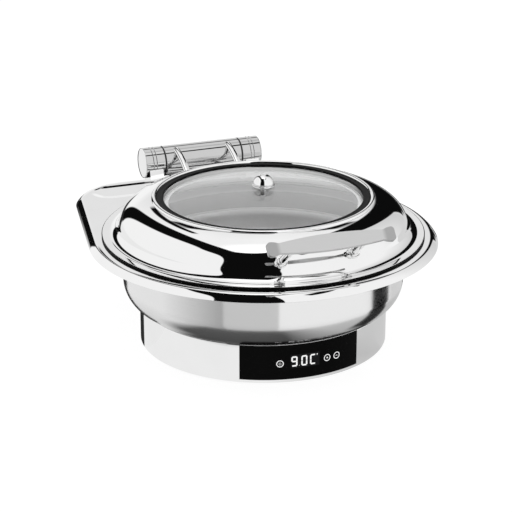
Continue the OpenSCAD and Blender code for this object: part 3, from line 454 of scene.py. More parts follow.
def grey(value):
    return (value, value, value, 1.0)


def noise(tree, vector, scale, detail=2.0):
    return put(tree, "ShaderNodeTexNoise", {}, {"Vector": vector, "Scale": scale, "Detail": detail})


def new_material(name):
    """An empty material and its tree, with the place of a surface point in the part's frame."""
    material = bpy.data.materials.new(name)
    material.use_nodes = True
    tree = material.node_tree
    tree.nodes.clear()
    place = put(tree, "ShaderNodeTexCoord", {}, {}, out=3)
    return material, tree, place


def surface(tree, **sockets):
    """The material's Principled surface."""
    named = {key.replace("_", " "): value for key, value in sockets.items()}
    shader = put(tree, "ShaderNodeBsdfPrincipled", {}, named)
    output = tree.nodes.new("ShaderNodeOutputMaterial")
    tree.links.new(shader.socket, output.inputs["Surface"])


def bump(tree, height, distance, strength=1.0):
    return put(tree, "ShaderNodeBump", {}, {"Height": height, "Distance": distance, "Strength": strength})


def polished_steel(name, value, rough, inside=None):
    """Mirror-polished sheet with faint wiping marks, and with a satin skin where inside is 1."""
    material, tree, place = new_material(name)
    haze = noise(tree, place, scale=16.0, detail=4.0).over(edge=0.58, soft=0.3)
    fine = noise(tree, place, scale=900.0, detail=1.0)
    colour = blend(tree, haze, grey(value), grey(value * HAZE_TONE))
    roughness = haze * HAZE_ROUGH + rough
    metal = 1.0
    if inside:
        satin = inside(*split(tree, place))
        colour = blend(tree, satin, colour, grey(SKIN_TONE))
        roughness = roughness + satin * SKIN_ROUGH
        metal = 1.0 - satin * SKIN_DULL
    surface(
        tree,
        Base_Color=colour,
        Metallic=metal,
        Roughness=roughness,
        Normal=bump(tree, fine, distance=2e-7),
    )
    return material


def satin_steel(name, value, rough, lengthwise=False, stretch=0.6, metal=1.0, painted_shade=None, painted_shade_tone=0.4):
    """Brushed sheet: fine lines run round the axis, or along X on a bar.

    Painted shade takes over where the shade mask, given the three coordinates in metres, is 1: a darker base
    colour standing in for darker reflections.
    """
    material, tree, place = new_material(name)
    x, y, z = split(tree, place)
    across = y if lengthwise else (x * x + y * y) ** 0.5
    flow = x if lengthwise else noise(tree, place, scale=6.0)
    stretched = {0: across * BRUSH_LINES, 1: z * BRUSH_LINES, 2: flow * BRUSH_FLOW}
    lines_at = put(tree, "ShaderNodeCombineXYZ", {}, stretched)
    lines = noise(tree, lines_at, scale=1.0, detail=3.0)
    cloud = noise(tree, place, scale=22.0, detail=3.0)
    even = rough - (BRUSH_ROUGH + CLOUD_ROUGH) / 2
    colour = blend(tree, lines, grey(value * BRUSH_TONE), grey(value))
    # Painted shade: the base colour turns darker where the mask is 1.
    if painted_shade:
        colour = blend(tree, painted_shade(x, y, z), colour, grey(painted_shade_tone))
    surface(
        tree,
        Base_Color=colour,
        Metallic=metal,
        Roughness=lines * BRUSH_ROUGH + cloud * CLOUD_ROUGH + even,
        Anisotropic=stretch,
        Anisotropic_Rotation=0.25,
        Normal=bump(tree, lines, distance=4e-6, strength=0.35),
    )
    return material


def moulded(name, colour, rough, grain=0.5, coat=0.0, shine=0.5):
    """Plastic, rubber or paint with a fine moulded grain."""
    material, tree, place = new_material(name)
    speck = noise(tree, place, scale=1400.0, detail=2.0)
    cloud = noise(tree, place, scale=30.0, detail=3.0)
    even = rough - (MOULD_CLOUD_ROUGH + MOULD_SPECK_ROUGH) / 2
    darker = tuple(MOULD_TONE * c for c in colour[:3]) + (1.0,)
    surface(
        tree,
        Base_Color=blend(tree, cloud, darker, colour),
        Roughness=cloud * MOULD_CLOUD_ROUGH + speck * MOULD_SPECK_ROUGH + even,
        Coat_Weight=coat,
        Specular_IOR_Level=shine,
        Normal=bump(tree, speck, distance=MOULD_GRAIN * grain, strength=0.4),
    )
    return material


def cast_metal(name, value, rough):
    """Cast or rolled metal with a slightly uneven skin."""
    material, tree, place = new_material(name)
    skin = noise(tree, place, scale=500.0, detail=4.0)
    cloud = noise(tree, place, scale=18.0, detail=3.0)
    surface(
        tree,
        Base_Color=blend(tree, cloud, grey(value * CAST_TONE), grey(value)),
        Metallic=1.0,
        Roughness=cloud * CAST_ROUGH + (rough - CAST_ROUGH_MEAN),
        Normal=bump(tree, skin, distance=4e-5, strength=0.5),
    )
    return material


def clear_glass(name):
    """Tempered window glass, with a trace of haze."""
    material, tree, place = new_material(name)
    haze = noise(tree, place, scale=12.0, detail=3.0).over(edge=0.62, soft=0.3)
    slant = put(tree, "ShaderNodeLayerWeight", {}, {"Blend": 0.5}, out=1)
    surface(
        tree,
        Base_Color=(0.985, 0.99, 0.99, 1.0),
        Metallic=1.0,
        Roughness=haze * GLASS_HAZE_ROUGH,
        Alpha=slant ** GLASS_POWER * (1.0 - GLASS_FACING) + GLASS_FACING,
    )
    return material


def black_panel(name):
    """Dark tinted glass over the display and the touch keys."""
    material, tree, place = new_material(name)
    wipe = noise(tree, place, scale=40.0, detail=3.0)
    surface(
        tree,
        Base_Color=blend(tree, wipe, grey(0.002), grey(0.004)),
        Roughness=wipe * PANEL_ROUGH + PANEL_ROUGH,
        Specular_IOR_Level=0.03,
    )
    return material


def lit_mark(name, level):
    """A mark on the panel that glows: the lit figures, and printed marks with a painted glow."""
    material, tree, place = new_material(name)
    glow = noise(tree, place, scale=700.0, detail=1.0)
    tone = blend(tree, glow, grey(level * MARK_TONE), grey(level))
    surface(
        tree,
        Base_Color=grey(0.02),
        Roughness=0.5,
        Emission_Color=tone,
        Emission_Strength=1.0,
    )
    return material


def under_dome(x, y, z):
    """1 on the lid's inner face, which lies one sheet's thickness inside the dome's ellipse."""
    radius = (x * x + y * y) ** 0.5
    across = (radius - DOME_C * MM) / (DOME_RUN * MM)
    upward = (z - DOME_Z * MM) / (DOME_RISE * MM)
    within = (across * across + upward * upward).under(edge=0.975, soft=0.02)
    within = within * radius.over((BEAD_C + BEAD_R + 1.0) * MM, MM)
    seat = radius.under(edge=(SEAT_R - 0.5) * MM, soft=0.2 * MM)
    return within.math("MAXIMUM", within, seat)


def pan_corner_shade(x, y, z):
    """1 at the water pan's floor, fading out up its corner: the place of painted shade on the pan's lower
    corner.
    """
    fade = PAN_FADE * MM
    return z.under(edge=PAN_FLOOR * MM + fade, soft=fade)


def food_wall_shade(x, y, z):
    """1 on the food pan's upright wall, above its step and below its rim: the place of painted shade on the
    wall.
    """
    radius = (x * x + y * y) ** 0.5
    ease = 1.5
    above_step = z.over(edge=(FOOD_TOP - FOOD_STEP_DEPTH + ease) * MM, soft=MM)
    return above_step * radius.under(edge=(FOOD_R + ease) * MM, soft=MM)


def handle_end_shade(x, y, z):
    """1 on the handle bar's flared ends: the place of painted shade on them."""
    return abs(x).over(edge=(HANDLE_NECK_X + 1.0) * MM, soft=5.0 * MM)


mirror = polished_steel("polished_steel", value=0.88, rough=0.025)
# The hinge tube's polish is a darker copy of the polished steel: painted shade for darker reflections.
tube_shaded_mirror = polished_steel("tube_painted_shade_polish", value=0.6, rough=0.04)
lid_mirror = polished_steel("lid_polish", value=0.88, rough=0.025, inside=under_dome)
# The water pan has painted shade on its lower corner, standing in for darker reflections there.
pan_satin = satin_steel(
    "pan_satin", value=0.84, rough=0.15, stretch=0.9, painted_shade=pan_corner_shade, painted_shade_tone=0.58
)
# The food pan has painted shade on its wall, darker than its floor.
food_satin = satin_steel(
    "food_pan_satin", value=0.95, rough=0.4, stretch=0.0, metal=0.1, painted_shade=food_wall_shade, painted_shade_tone=0.45
)
# The handle bar has painted shade on its flared ends.
bar_satin = satin_steel(
    "handle_satin", value=0.64, rough=0.3, lengthwise=True, stretch=0.0, painted_shade=handle_end_shade, painted_shade_tone=0.42
)
hidden_steel = satin_steel("hidden_steel", value=0.7, rough=0.3, stretch=0.0)
cast_plate = cast_metal("cast_plate", value=0.55, rough=0.4)
dark_metal = cast_metal("dark_metal", value=0.14, rough=0.5)
bronze = cast_metal("bronze", value=0.4, rough=0.35)
soft_black = moulded("soft_black", (0.004, 0.004, 0.004, 1.0), rough=0.46, shine=0.05)
black_plastic = moulded("black_plastic", (0.016, 0.016, 0.017, 1.0), rough=0.4)
board_green = moulded("board_green", (0.03, 0.14, 0.06, 1.0), rough=0.4, coat=0.3)
lead_cover = moulded("lead_cover", (0.4, 0.4, 0.4, 1.0), rough=0.5)
window_glass = clear_glass("clear_glass")
panel_glass = black_panel("black_panel")
display_tint = moulded("display_tint", (0.014, 0.014, 0.015, 1.0), rough=0.3, grain=0.1, shine=0.05)
lit_white = lit_mark("lit_white", level=0.95)

SLOT_MATERIAL = {
    "polished_steel": mirror,
    "satin_steel": hidden_steel,
    "cast_plate": cast_plate,
    "dark_metal": dark_metal,
    "soft_black": soft_black,
    "black_plastic": black_plastic,
    "black_panel": panel_glass,
    "circuit_board": board_green,
    "lead_cover": lead_cover,
    "bronze": bronze,
    "clear_glass": window_glass,
}


# Modelling helpers

def deselect_all():
    bpy.ops.object.select_all(action="DESELECT")


def only(piece):
    deselect_all()
    piece.select_set(True)
    bpy.context.view_layer.objects.active = piece


def edit(piece):
    only(piece)
    bpy.ops.object.mode_set(mode="EDIT")


def leave_edit():
    bpy.ops.object.mode_set(mode="OBJECT")


def face_outwards(piece, merge=0.0):
    """Merges doubles where asked, and turns all faces outwards."""
    edit(piece)
    bpy.ops.mesh.select_all(action="SELECT")
    if merge:
        bpy.ops.mesh.remove_doubles(threshold=merge)
    bpy.ops.mesh.normals_make_consistent(inside=False)
    leave_edit()


def pick_faces(piece, test):
    """In edit mode, selects the faces whose middle passes a test, given in millimetres."""
    bpy.ops.mesh.select_mode(type="FACE")
    bpy.ops.mesh.select_all(action="DESELECT")
    leave_edit()
    for face in piece.data.polygons:
        face.select = test(face.center / MM)
    bpy.ops.object.mode_set(mode="EDIT")


def apply_modifier(piece, kind, **settings):
    only(piece)
    bpy.ops.object.modifier_add(type=kind)
    modifier = piece.modifiers[-1]
    for key, value in settings.items():
        setattr(modifier, key, value)
    bpy.ops.object.modifier_apply(modifier=modifier.name)


def smooth(piece, angle=32.0):
    """Smooth faces with sharp edges kept, and flat faces kept flat."""
    only(piece)
    bpy.ops.object.shade_smooth_by_angle(angle=math.radians(angle))
    apply_modifier(piece, "WEIGHTED_NORMAL", keep_sharp=True, weight=70)


def place(piece, turn=(0.0, 0.0, 0.0), at=(0.0, 0.0, 0.0)):
    """Turns and moves a piece, and puts its place into its mesh."""
    only(piece)
    piece.rotation_euler = turn
    piece.location = Vector(at) * MM
    bpy.ops.object.transform_apply(location=True, rotation=True, scale=True)


def copy_of(piece, name):
    only(piece)
    bpy.ops.object.duplicate()
    twin = bpy.context.view_layer.objects.active
    twin.name = name
    return twin


def mirrored(piece, name):
    """A copy on the other side of the X axis's middle."""
    twin = copy_of(piece, name)
    twin.scale = (-1.0, 1.0, 1.0)
    bpy.ops.object.transform_apply(location=True, rotation=True, scale=True)
    face_outwards(twin)
    return twin


def join(name, pieces):
    deselect_all()
    for piece in pieces:
        piece.select_set(True)
    bpy.context.view_layer.objects.active = pieces[0]
    bpy.ops.object.join()
    pieces[0].name = name
    return pieces[0]


def arc(centre, radius, start, end, steps):
    """Points on a circle, in degrees."""
    points = []
    for i in range(steps + 1):
        angle = math.radians(start + (end - start) * i / steps)
        points.append((centre[0] + radius * math.cos(angle), centre[1] + radius * math.sin(angle)))
    return points


def line_between(first, last, steps):
    """Evenly spaced points after the first and before the last."""
    return [
        tuple(a + (b - a) * i / steps for a, b in zip(first, last))
        for i in range(1, steps)
    ]


def draw_line(name, points):
    """A new object in edit mode: one line drawn point by point from a single vertex."""
    deselect_all()
    bpy.ops.mesh.primitive_plane_add(size=MM)
    piece = bpy.context.object
    piece.name = name
    bpy.ops.object.mode_set(mode="EDIT")
    bpy.ops.mesh.select_mode(type="VERT")
    bpy.ops.mesh.merge(type="CENTER")
    bpy.ops.transform.translate(value=points[0])
    for here, there in zip(points, points[1:]):
        bpy.ops.mesh.extrude_region_move(TRANSFORM_OT_translate={"value": there - here})
    bpy.ops.mesh.select_all(action="SELECT")
    return piece


def lathe(name, outline, steps=256, shade=32.0):
    """Turns an outline of (radius, height) points about the Z axis."""
    points = [Vector((r * MM, 0.0, z * MM)) for r, z in outline]
    piece = draw_line(name, points)
    bpy.ops.mesh.spin(steps=steps, angle=TURN, center=(0.0, 0.0, 0.0), axis=(0.0, 0.0, 1.0))
    bpy.ops.mesh.select_all(action="SELECT")
    bpy.ops.mesh.remove_doubles(threshold=MM / 400)
    bpy.ops.mesh.normals_make_consistent(inside=False)
    leave_edit()
    if shade:
        smooth(piece, shade)
    return piece


def dress(piece, material, body, slot, *nodes):
    """Gives a piece its material, its body, and the nodes that it stands for."""
    piece.data.materials.clear()
    piece.data.materials.append(material)
    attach(piece, body)
    if nodes:
        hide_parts(*nodes)
    return piece


# Stand

def make_stand():
    """The polished wall with its folded-in deck, open for the panel and the inlet."""
    top = arc((STAND_R - STAND_EDGE, STAND_TOP - STAND_EDGE), STAND_EDGE, 0, 90, steps=6)
    fold_in = STAND_TOP - DECK_TOP
    rows = [
        (STAND_R, STAND_Z0),
        (STAND_R, PANEL_Z0 - PANEL_GAP),
        (STAND_R, INLET_Z - INLET_HALF_H),
        (STAND_R, INLET_Z + INLET_HALF_H),
    ]
    inner = STAND_R - STAND_EDGE - fold_in
    outline = rows + top + [(inner, DECK_TOP), (inner - DECK_LAND, DECK_TOP), (DECK_HOLE_R, DECK_TOP)]
    piece = lathe("stand_wall", outline, STAND_STEPS, shade=0.0)
    place(piece, (0.0, 0.0, PANEL_TURN))

    def in_openings(middle):
        if math.hypot(middle.x, middle.y) < STAND_R - STAND_EDGE:
            return False
        front = math.atan2(middle.x, -middle.y)
        in_panel = abs(math.degrees(front - PANEL_TURN)) < PANEL_ANGLE and middle.z > PANEL_Z0
        at_inlet = 180.0 - abs(math.degrees(front)) < INLET_ANGLE
        return in_panel or (at_inlet and abs(middle.z - INLET_Z) < INLET_HALF_H)

    edit(piece)
    pick_faces(piece, in_openings)
    bpy.ops.mesh.delete(type="FACE")
    leave_edit()
    apply_modifier(piece, "SOLIDIFY", thickness=STAND_T * MM, offset=-1.0)
    smooth(piece)
    return dress(piece, mirror, "base", "polished_steel", "stand_shell")


def make_panel():
    """The curved dark panel, with eased edges."""
    points = [Vector((0.0, -STAND_R * MM, z * MM)) for z in (PANEL_Z0, PANEL_Z1)]
    piece = draw_line("control_panel_glass", points)
    half = math.radians(PANEL_ANGLE)
    bpy.ops.mesh.spin(steps=20, angle=half, center=(0.0, 0.0, 0.0), axis=(0.0, 0.0, 1.0))
    leave_edit()
    far = max(abs(vertex.co.x) for vertex in piece.data.vertices)
    for vertex in piece.data.vertices:
        vertex.select = abs(vertex.co.x) > far - MM and vertex.co.z < PANEL_Z0 * MM + MM
    bpy.ops.object.mode_set(mode="EDIT")
    bpy.ops.mesh.bevel(offset=PANEL_CORNER * MM, segments=5, affect="VERTICES")
    leave_edit()
    apply_modifier(piece, "MIRROR", merge_threshold=MM / 100)
    face_outwards(piece)
    outward = piece.data.polygons[0].normal.y < 0.0
    apply_modifier(piece, "SOLIDIFY", thickness=PANEL_T * MM, offset=-1.0 if outward else 1.0)
    apply_modifier(piece, "BEVEL", width=PANEL_EASE * MM, segments=2, limit_method="ANGLE")
    face_outwards(piece)
    smooth(piece)
    place(piece, (0.0, 0.0, PANEL_TURN))
    return dress(piece, panel_glass, "base", "black_panel", "control_panel")


def wrap_on_panel(piece, proud):
    """Bends a flat drawing of (arc, height) in the XZ plane onto the panel's face."""
    for vertex in piece.data.vertices:
        angle = vertex.co.x / (STAND_R * MM) + PANEL_TURN
        radius = STAND_R * MM + proud * MM - vertex.co.y
        vertex.co = Vector((radius * math.sin(angle), -radius * math.cos(angle), vertex.co.z))


def flat_bar(centre, size, slant=0.0):
    """A thin bar in the panel's drawing, with bevelled ends."""
    deselect_all()
    bpy.ops.mesh.primitive_cube_add(size=1.0)
    piece = bpy.context.object
    piece.scale = Vector((size[0], MARK_T, size[1])) * MM
    piece.rotation_euler = (0.0, slant, 0.0)
    piece.location = Vector((centre[0], 0.0, centre[1])) * MM
    bpy.ops.object.transform_apply(location=True, rotation=True, scale=True)
    apply_modifier(piece, "BEVEL", width=MARK_ROUND * min(size) * MM, segments=2, limit_method="ANGLE")
    return piece


def flat_ring(centre, radius, width, opening=0.0):
    """A thin ring in the panel's drawing, open at the top by an angle."""
    start = Vector(((radius - width) * MM, 0.0, 0.0))
    end = Vector((radius * MM, 0.0, 0.0))
    piece = draw_line("ring", [start, end])
    bpy.ops.mesh.spin(
        steps=40, angle=TURN - math.radians(opening), center=(0.0, 0.0, 0.0), axis=(0.0, 1.0, 0.0)
    )
    bpy.ops.mesh.select_all(action="SELECT")
    bpy.ops.mesh.remove_doubles(threshold=MM / 200)
    bpy.ops.mesh.normals_make_consistent(inside=False)
    leave_edit()
    turn = math.radians(-90.0 - opening / 2)
    place(piece, (0.0, turn, 0.0), (centre[0], 0.0, centre[1]))
    apply_modifier(piece, "SOLIDIFY", thickness=MARK_T * MM, offset=0.0)
    return piece


def make_display():
    """Three lit figures with a point and a degree mark."""
    half_w = (DIGIT_W - SEGMENT_T) / 2
    half_h = (DIGIT_H - SEGMENT_T) / 2
    bars = []
    for middle, lit in DIGITS:
        for letter in lit:
            side, level, flat = SEGMENT_PLACES[letter]
            spot = (middle + side * half_w, DIGIT_Z + level * half_h)
            length = (2 * half_w if flat else half_h) - SEGMENT_GAP
            size = (length, SEGMENT_T) if flat else (SEGMENT_T, length)
            bars.append(flat_bar(spot, size))
    bars.append(flat_bar((POINT_X, DIGIT_Z - half_h), POINT_SIZE))
    bars.append(flat_bar((DEGREE_X, DIGIT_Z + half_h), DEGREE_SIZE))
    piece = join("display_figures", bars)
    wrap_on_panel(piece, MARK_T)
    return dress(piece, lit_white, "base", "black_panel")


def make_display_window():
    """The faintly lighter window round the figures."""
    deselect_all()
    bpy.ops.mesh.primitive_grid_add(x_subdivisions=24, y_subdivisions=2, size=1.0)
    piece = bpy.context.object
    piece.name = "display_window"
    piece.scale = (WINDOW_SIZE[0] * MM, WINDOW_SIZE[1] * MM, 1.0)
    place(piece, (math.radians(90.0), 0.0, 0.0), (WINDOW_X, 0.0, DIGIT_Z))
    apply_modifier(piece, "SOLIDIFY", thickness=MARK_T / 2 * MM, offset=0.0)
    wrap_on_panel(piece, MARK_T / 4)
    return dress(piece, display_tint, "base", "black_panel")


def make_key_icons():
    """Printed rings with a power sign, a plus and a minus, which glow as painted light."""
    marks = [flat_ring((at, ICON_Z), ICON_R, ICON_LINE) for at in (POWER_AT, PLUS_AT, MINUS_AT)]
    marks += [
        flat_ring((POWER_AT, ICON_Z - POWER_DROP), POWER_R, POWER_LINE, opening=POWER_OPENING),
        flat_bar((POWER_AT, ICON_Z + POWER_BAR_RISE), POWER_BAR),
        flat_bar((PLUS_AT, ICON_Z), (PLUS_L, PLUS_T)),
        flat_bar((PLUS_AT, ICON_Z), (PLUS_T, PLUS_L)),
        flat_bar((MINUS_AT, ICON_Z), MINUS_BAR),
    ]
    piece = join("key_icons", marks)
    wrap_on_panel(piece, MARK_T)
    # The printed marks take the glowing white: painted light.
    return dress(piece, lit_white, "base", "black_panel")


# Dish

def make_water_pan():
    """The satin bowl with its ledge and step."""
    corner = (PAN_R - PAN_CORNER, PAN_FLOOR + PAN_CORNER)
    outside = arc(corner, PAN_CORNER, 0, -90, steps=20)
    inside = arc(corner, PAN_CORNER - PAN_T, -90, 0, steps=20)
    outline = (
        [(LEDGE_R, RIM_TOP), (LEDGE_R + PAN_T, RIM_TOP), (LEDGE_R + PAN_T, LEDGE_Z - PAN_T)]
        + [(PAN_R + PAN_EASE, LEDGE_Z - PAN_T), (PAN_R, LEDGE_Z - PAN_T - PAN_EASE)]
        + outside
        + [(PAN_RING_R, PAN_FLOOR), (0.0, PAN_FLOOR)]
    )
    back = [(0.0, PAN_FLOOR + PAN_T), (PAN_RING_R, PAN_FLOOR + PAN_T)] + inside
    back += [(PAN_R - PAN_T, LEDGE_Z), (LEDGE_R, LEDGE_Z), (LEDGE_R, RIM_TOP)]
    piece = lathe("water_bowl", outline + back)
    return dress(piece, pan_satin, "dish", "satin_steel", "water_pan")


def rim_stations():
    """Points and outward normals along the rim's outline: a large circle drawn out to a tongue."""
    centres = {"front": ((0.0, 0.0), RIM_R)}
    centres["right"] = ((TONGUE_X, TONGUE_Y), TONGUE_R)
    centres["left"] = ((-TONGUE_X, TONGUE_Y), TONGUE_R)
    reach = math.hypot(TONGUE_X, TONGUE_Y)
    taper = math.degrees(math.atan2(TONGUE_Y, TONGUE_X) - math.acos((RIM_R - TONGUE_R) / reach))

    def on(name, angle):
        (cx, cy), radius = centres[name]
        normal = Vector((math.cos(math.radians(angle)), math.sin(math.radians(angle))))
        return Vector((cx, cy)) + radius * normal, normal

    def round_part(name, start, end, steps):
        return [on(name, start + (end - start) * i / steps) for i in range(steps)]

    def straight_part(first, last, angle, steps):
        p, normal = on(first, angle)
        q, normal = on(last, angle)
        return [(p.lerp(q, i / steps), normal) for i in range(steps)]

    return (
        round_part("front", -180.0 - taper, taper, steps=200)
        + straight_part("front", "right", taper, steps=54)
        + round_part("right", taper, 90.0, steps=64)
        + straight_part("right", "left", 90.0, steps=110)
        + round_part("left", 90.0, 180.0 - taper, steps=64)
        + straight_part("left", "front", 180.0 - taper, steps=54)
    )


def recess_drop(spot):
    """How far the pressed recess lowers the sheet at a place."""
    beyond = max(abs(spot.x) - RECESS_HALF, 0.0)
    inside = RECESS_R - math.hypot(beyond, spot.y - RECESS_Y)
    share = min(max(inside / RECESS_WALL, 0.0), 1.0)
    return RECESS_DEPTH * share * share * (3.0 - 2.0 * share)


def rim_edge(deck_r):
    """The rim's outline from its deck outwards: a gentle shoulder, a close bend and a full skirt."""
    shoulder = arc((deck_r, RIM_TOP - RIM_SHOULDER_R), RIM_SHOULDER_R, 90, 90 - RIM_SHOULDER_TURN, steps=6)
    tilt = math.radians(90 - RIM_SHOULDER_TURN)
    centre = (shoulder[-1][0] - RIM_BEND_R * math.cos(tilt), shoulder[-1][1] - RIM_BEND_R * math.sin(tilt))
    bend = arc(centre, RIM_BEND_R, 90 - RIM_SHOULDER_TURN, 90 - RIM_BEND_TURN, steps=6)
    low = (RIM_R, RIM_LOW)
    skirt = line_between(bend[-1], low, RIM_SKIRT_STEPS)
    for i, (r, z) in enumerate(skirt):
        bulge = RIM_BULGE * RIM_BULGE_LEAN * math.sin(math.pi * (i + 1) / RIM_SKIRT_STEPS)
        skirt[i] = (r + bulge, z + bulge)
    return shoulder + bend[1:] + skirt + [low]


def make_rim():
    """The polished rim and tongue: a turned ring drawn out to the outline, with a pressed recess."""
    stations = rim_stations()
    deck_r = RIM_R - RIM_EDGE
    slack = 1e-4
    deck = [(RIM_HOLE_R, RIM_TOP)]
    deck += line_between((RIM_HOLE_R, RIM_TOP), (deck_r, RIM_TOP), RIM_DECK_ROWS)
    piece = lathe("rim_sheet", deck + rim_edge(deck_r), len(stations), shade=0.0)
    for vertex in piece.data.vertices:
        spot = vertex.co / MM
        radius = math.hypot(spot.x, spot.y)
        share = math.atan2(spot.y, spot.x) / TURN % 1.0
        outline, normal = stations[round(share * len(stations)) % len(stations)]
        if radius > deck_r + slack:
            flat = outline - normal * (RIM_R - radius)
            drop = 0.0
        else:
            deck_end = outline - normal * RIM_EDGE
            hole = deck_end.normalized() * RIM_HOLE_R
            flat = hole.lerp(deck_end, (radius - RIM_HOLE_R) / (deck_r - RIM_HOLE_R))
            drop = recess_drop(flat)
        vertex.co = Vector((flat.x, flat.y, spot.z - drop)) * MM
    face_outwards(piece)
    up = piece.data.polygons[len(piece.data.polygons) // 2].normal.z > 0.0
    apply_modifier(piece, "SOLIDIFY", thickness=PAN_T * MM, offset=-1.0 if up else 1.0)
    smooth(piece)
    return dress(piece, mirror, "dish", "polished_steel", "rim_frame")


def make_food_pan():
    """The loose food pan with a rolled rim and a narrow step round its wall."""
    step_z = FOOD_TOP - FOOD_STEP_DEPTH
    step_r = FOOD_R - FOOD_STEP
    round_r = 1.0
    corner_r = step_z - round_r - FOOD_FLOOR
    corner = (step_r - corner_r, FOOD_FLOOR + corner_r)
    roll = FOOD_T / 2
    lip = 4.0
    inside = arc(corner, corner_r, -90, 0, steps=24)
    inside += arc((step_r + round_r, step_z - round_r), round_r, 180, 90, steps=5)
    inside += arc((FOOD_R - round_r, step_z + round_r), round_r, -90, 0, steps=5)
    outside = arc((FOOD_R - round_r, step_z + round_r), round_r + FOOD_T, 0, -90, steps=5)
    outside += arc(corner, corner_r + FOOD_T, 0, -90, steps=24)
    neck = arc((FOOD_R + lip, FOOD_TOP - lip), lip, 180, 90, steps=8)
    outline = [(0.0, FOOD_FLOOR), (FOOD_RING_R, FOOD_FLOOR)] + inside + neck
    outline += arc((FOOD_RIM_R - roll, FOOD_TOP - roll), roll, 90, -90, steps=6)
    outline += arc((FOOD_R + lip, FOOD_TOP - lip), lip - FOOD_T, 90, 180, steps=8)
    outline += outside + [(FOOD_RING_R, FOOD_FLOOR - FOOD_T), (0.0, FOOD_FLOOR - FOOD_T)]
    piece = lathe("food_tray", outline)
    return dress(piece, food_satin, "food_pan", "satin_steel", "food_pan")


# Lid

def dome_curve(grow, steps):
    """The dome's outline from its flared foot to the bead."""
    points = []
    for i in range(steps + 1):
        angle = FLARE_ANGLE + (BEAD_ANGLE - FLARE_ANGLE) * i / steps
        r = DOME_C + (DOME_RUN + grow) * math.cos(angle)
        points.append((r, DOME_Z + (DOME_RISE + grow) * math.sin(angle)))
    return points


def make_lid():
    """The polished lid: flange, flared foot, dome, bead and window seat in one pressing."""
    edge = LID_R - EDGE_RING_WALL
    ease = 0.4
    tilt = 180 + math.degrees(FLARE_TILT)
    outline = [(edge, LID_BOTTOM)] + arc((edge - ease, LID_TOP - ease), ease, 0, 90, steps=4)
    outline += arc(FLARE_AT, FLARE_R, 270, tilt, steps=20)
    outline += dome_curve(0.0, steps=48)[1:]
    outline += arc((BEAD_C, BEAD_Z), BEAD_R, BEAD_START, 180, steps=16)
    outline += [(SEAT_R, SEAT_Z), (SEAT_IN, SEAT_Z), (SEAT_IN, SEAT_Z - LID_T)]
    outline += [(SEAT_R + LID_T, SEAT_Z - LID_T)]
    outline += arc((BEAD_C, BEAD_Z), BEAD_R - LID_T, 180, BEAD_START, steps=8)
    outline += dome_curve(-LID_T, steps=32)[::-1]
    outline += arc(FLARE_AT, FLARE_R + LID_T, tilt, 270, steps=12)[1:]
    outline += [outline[0]]
    piece = lathe("lid_dome", outline, steps=320)
    return dress(piece, lid_mirror, "lid", "polished_steel", "lid_rim", "lid_shell", "window_ring")


def make_lid_edge_ring():
    """A soft black ring under the flange, with a rounded lip over the flange's edge, which makes the lid's
    edge dark.
    """
    low_r = 0.7
    outline = [(LID_R - EDGE_RING_W, EDGE_RING_Z)]
    outline += arc((LID_R - low_r, EDGE_RING_Z + low_r), low_r, -90, 0, steps=5)
    outline += arc((LID_R - EDGE_RING_WALL / 2, EDGE_RING_TOP - EDGE_RING_WALL / 2), EDGE_RING_WALL / 2, 0, 180, steps=8)
    outline += [(LID_R - EDGE_RING_WALL, LID_BOTTOM), (LID_R - EDGE_RING_W, LID_BOTTOM), outline[0]]
    piece = lathe("lid_edge_black_ring", outline, steps=320)
    return dress(piece, soft_black, "lid", "soft_black", "lid_seal")


def sphere_height(r, radius):
    """Height of a sphere about the glass's centre, at a distance from the axis."""
    return GLASS_TOP - GLASS_SPHERE + math.sqrt(radius ** 2 - r ** 2)


def make_glass():
    """The domed window."""
    steps = 30
    radii = [GLASS_R * i / steps for i in range(steps + 1)]
    over = [(r, sphere_height(r, GLASS_SPHERE)) for r in radii]
    below = [(r, sphere_height(r, GLASS_SPHERE - GLASS_T)) for r in reversed(radii)]
    piece = lathe("window", over + below, steps=192)
    return dress(piece, window_glass, "lid", "clear_glass", "glass_pane")


def make_gasket():
    """The soft ring that holds the window, with a shallow groove on its top."""
    round_r = 1.4
    groove = 0.35
    half = 1.6
    middle = (GASKET_R0 + GASKET_R1) / 2
    inner_z = sphere_height(GASKET_R0, GLASS_SPHERE)
    outline = [(GASKET_R0, SEAT_Z), (GASKET_R1, SEAT_Z)]
    outline += arc((GASKET_R1 - round_r, GASKET_TOP - round_r), round_r, 0, 90, steps=6)
    outline += [(middle + half, GASKET_TOP), (middle, GASKET_TOP - groove), (middle - half, GASKET_TOP)]
    outline += arc((GASKET_R0 + round_r, GASKET_TOP - round_r), round_r, 90, 160, steps=6)
    outline += [(GASKET_R0, inner_z), (GLASS_R, sphere_height(GLASS_R, GLASS_SPHERE))]
    outline += [(GLASS_R, SEAT_Z + GASKET_BED), (GASKET_R0, SEAT_Z + GASKET_BED), (GASKET_R0, SEAT_Z)]
    piece = lathe("window_gasket", outline, steps=256)
    return dress(piece, soft_black, "lid", "soft_black", "glass_gasket")


def make_knob():
    """The vent knob: a round cap over a thin flange and a stem."""
    stem = 4.0
    stem_z = GLASS_TOP - KNOB_STEM_L
    flange_h = 2.0
    flange_r = KNOB_R - 0.5
    flange_round = 0.9
    cap_r = KNOB_R - 0.8
    cap_steps = 18
    cap = []
    for i in range(cap_steps + 1):
        angle = math.radians(90.0 * i / cap_steps)
        height = (KNOB_H - flange_h) * math.sin(angle)
        cap.append((cap_r * math.cos(angle), KNOB_Z + flange_h + height))
    outline = [(0.0, stem_z), (stem, stem_z), (stem, KNOB_Z), (flange_r, KNOB_Z)]
    outline += arc((flange_r, KNOB_Z + flange_round), flange_round, -90, 90, steps=8)
    outline += cap
    piece = lathe("steam_knob", outline, steps=96)
    return dress(piece, mirror, "lid", "polished_steel", "vent_knob")


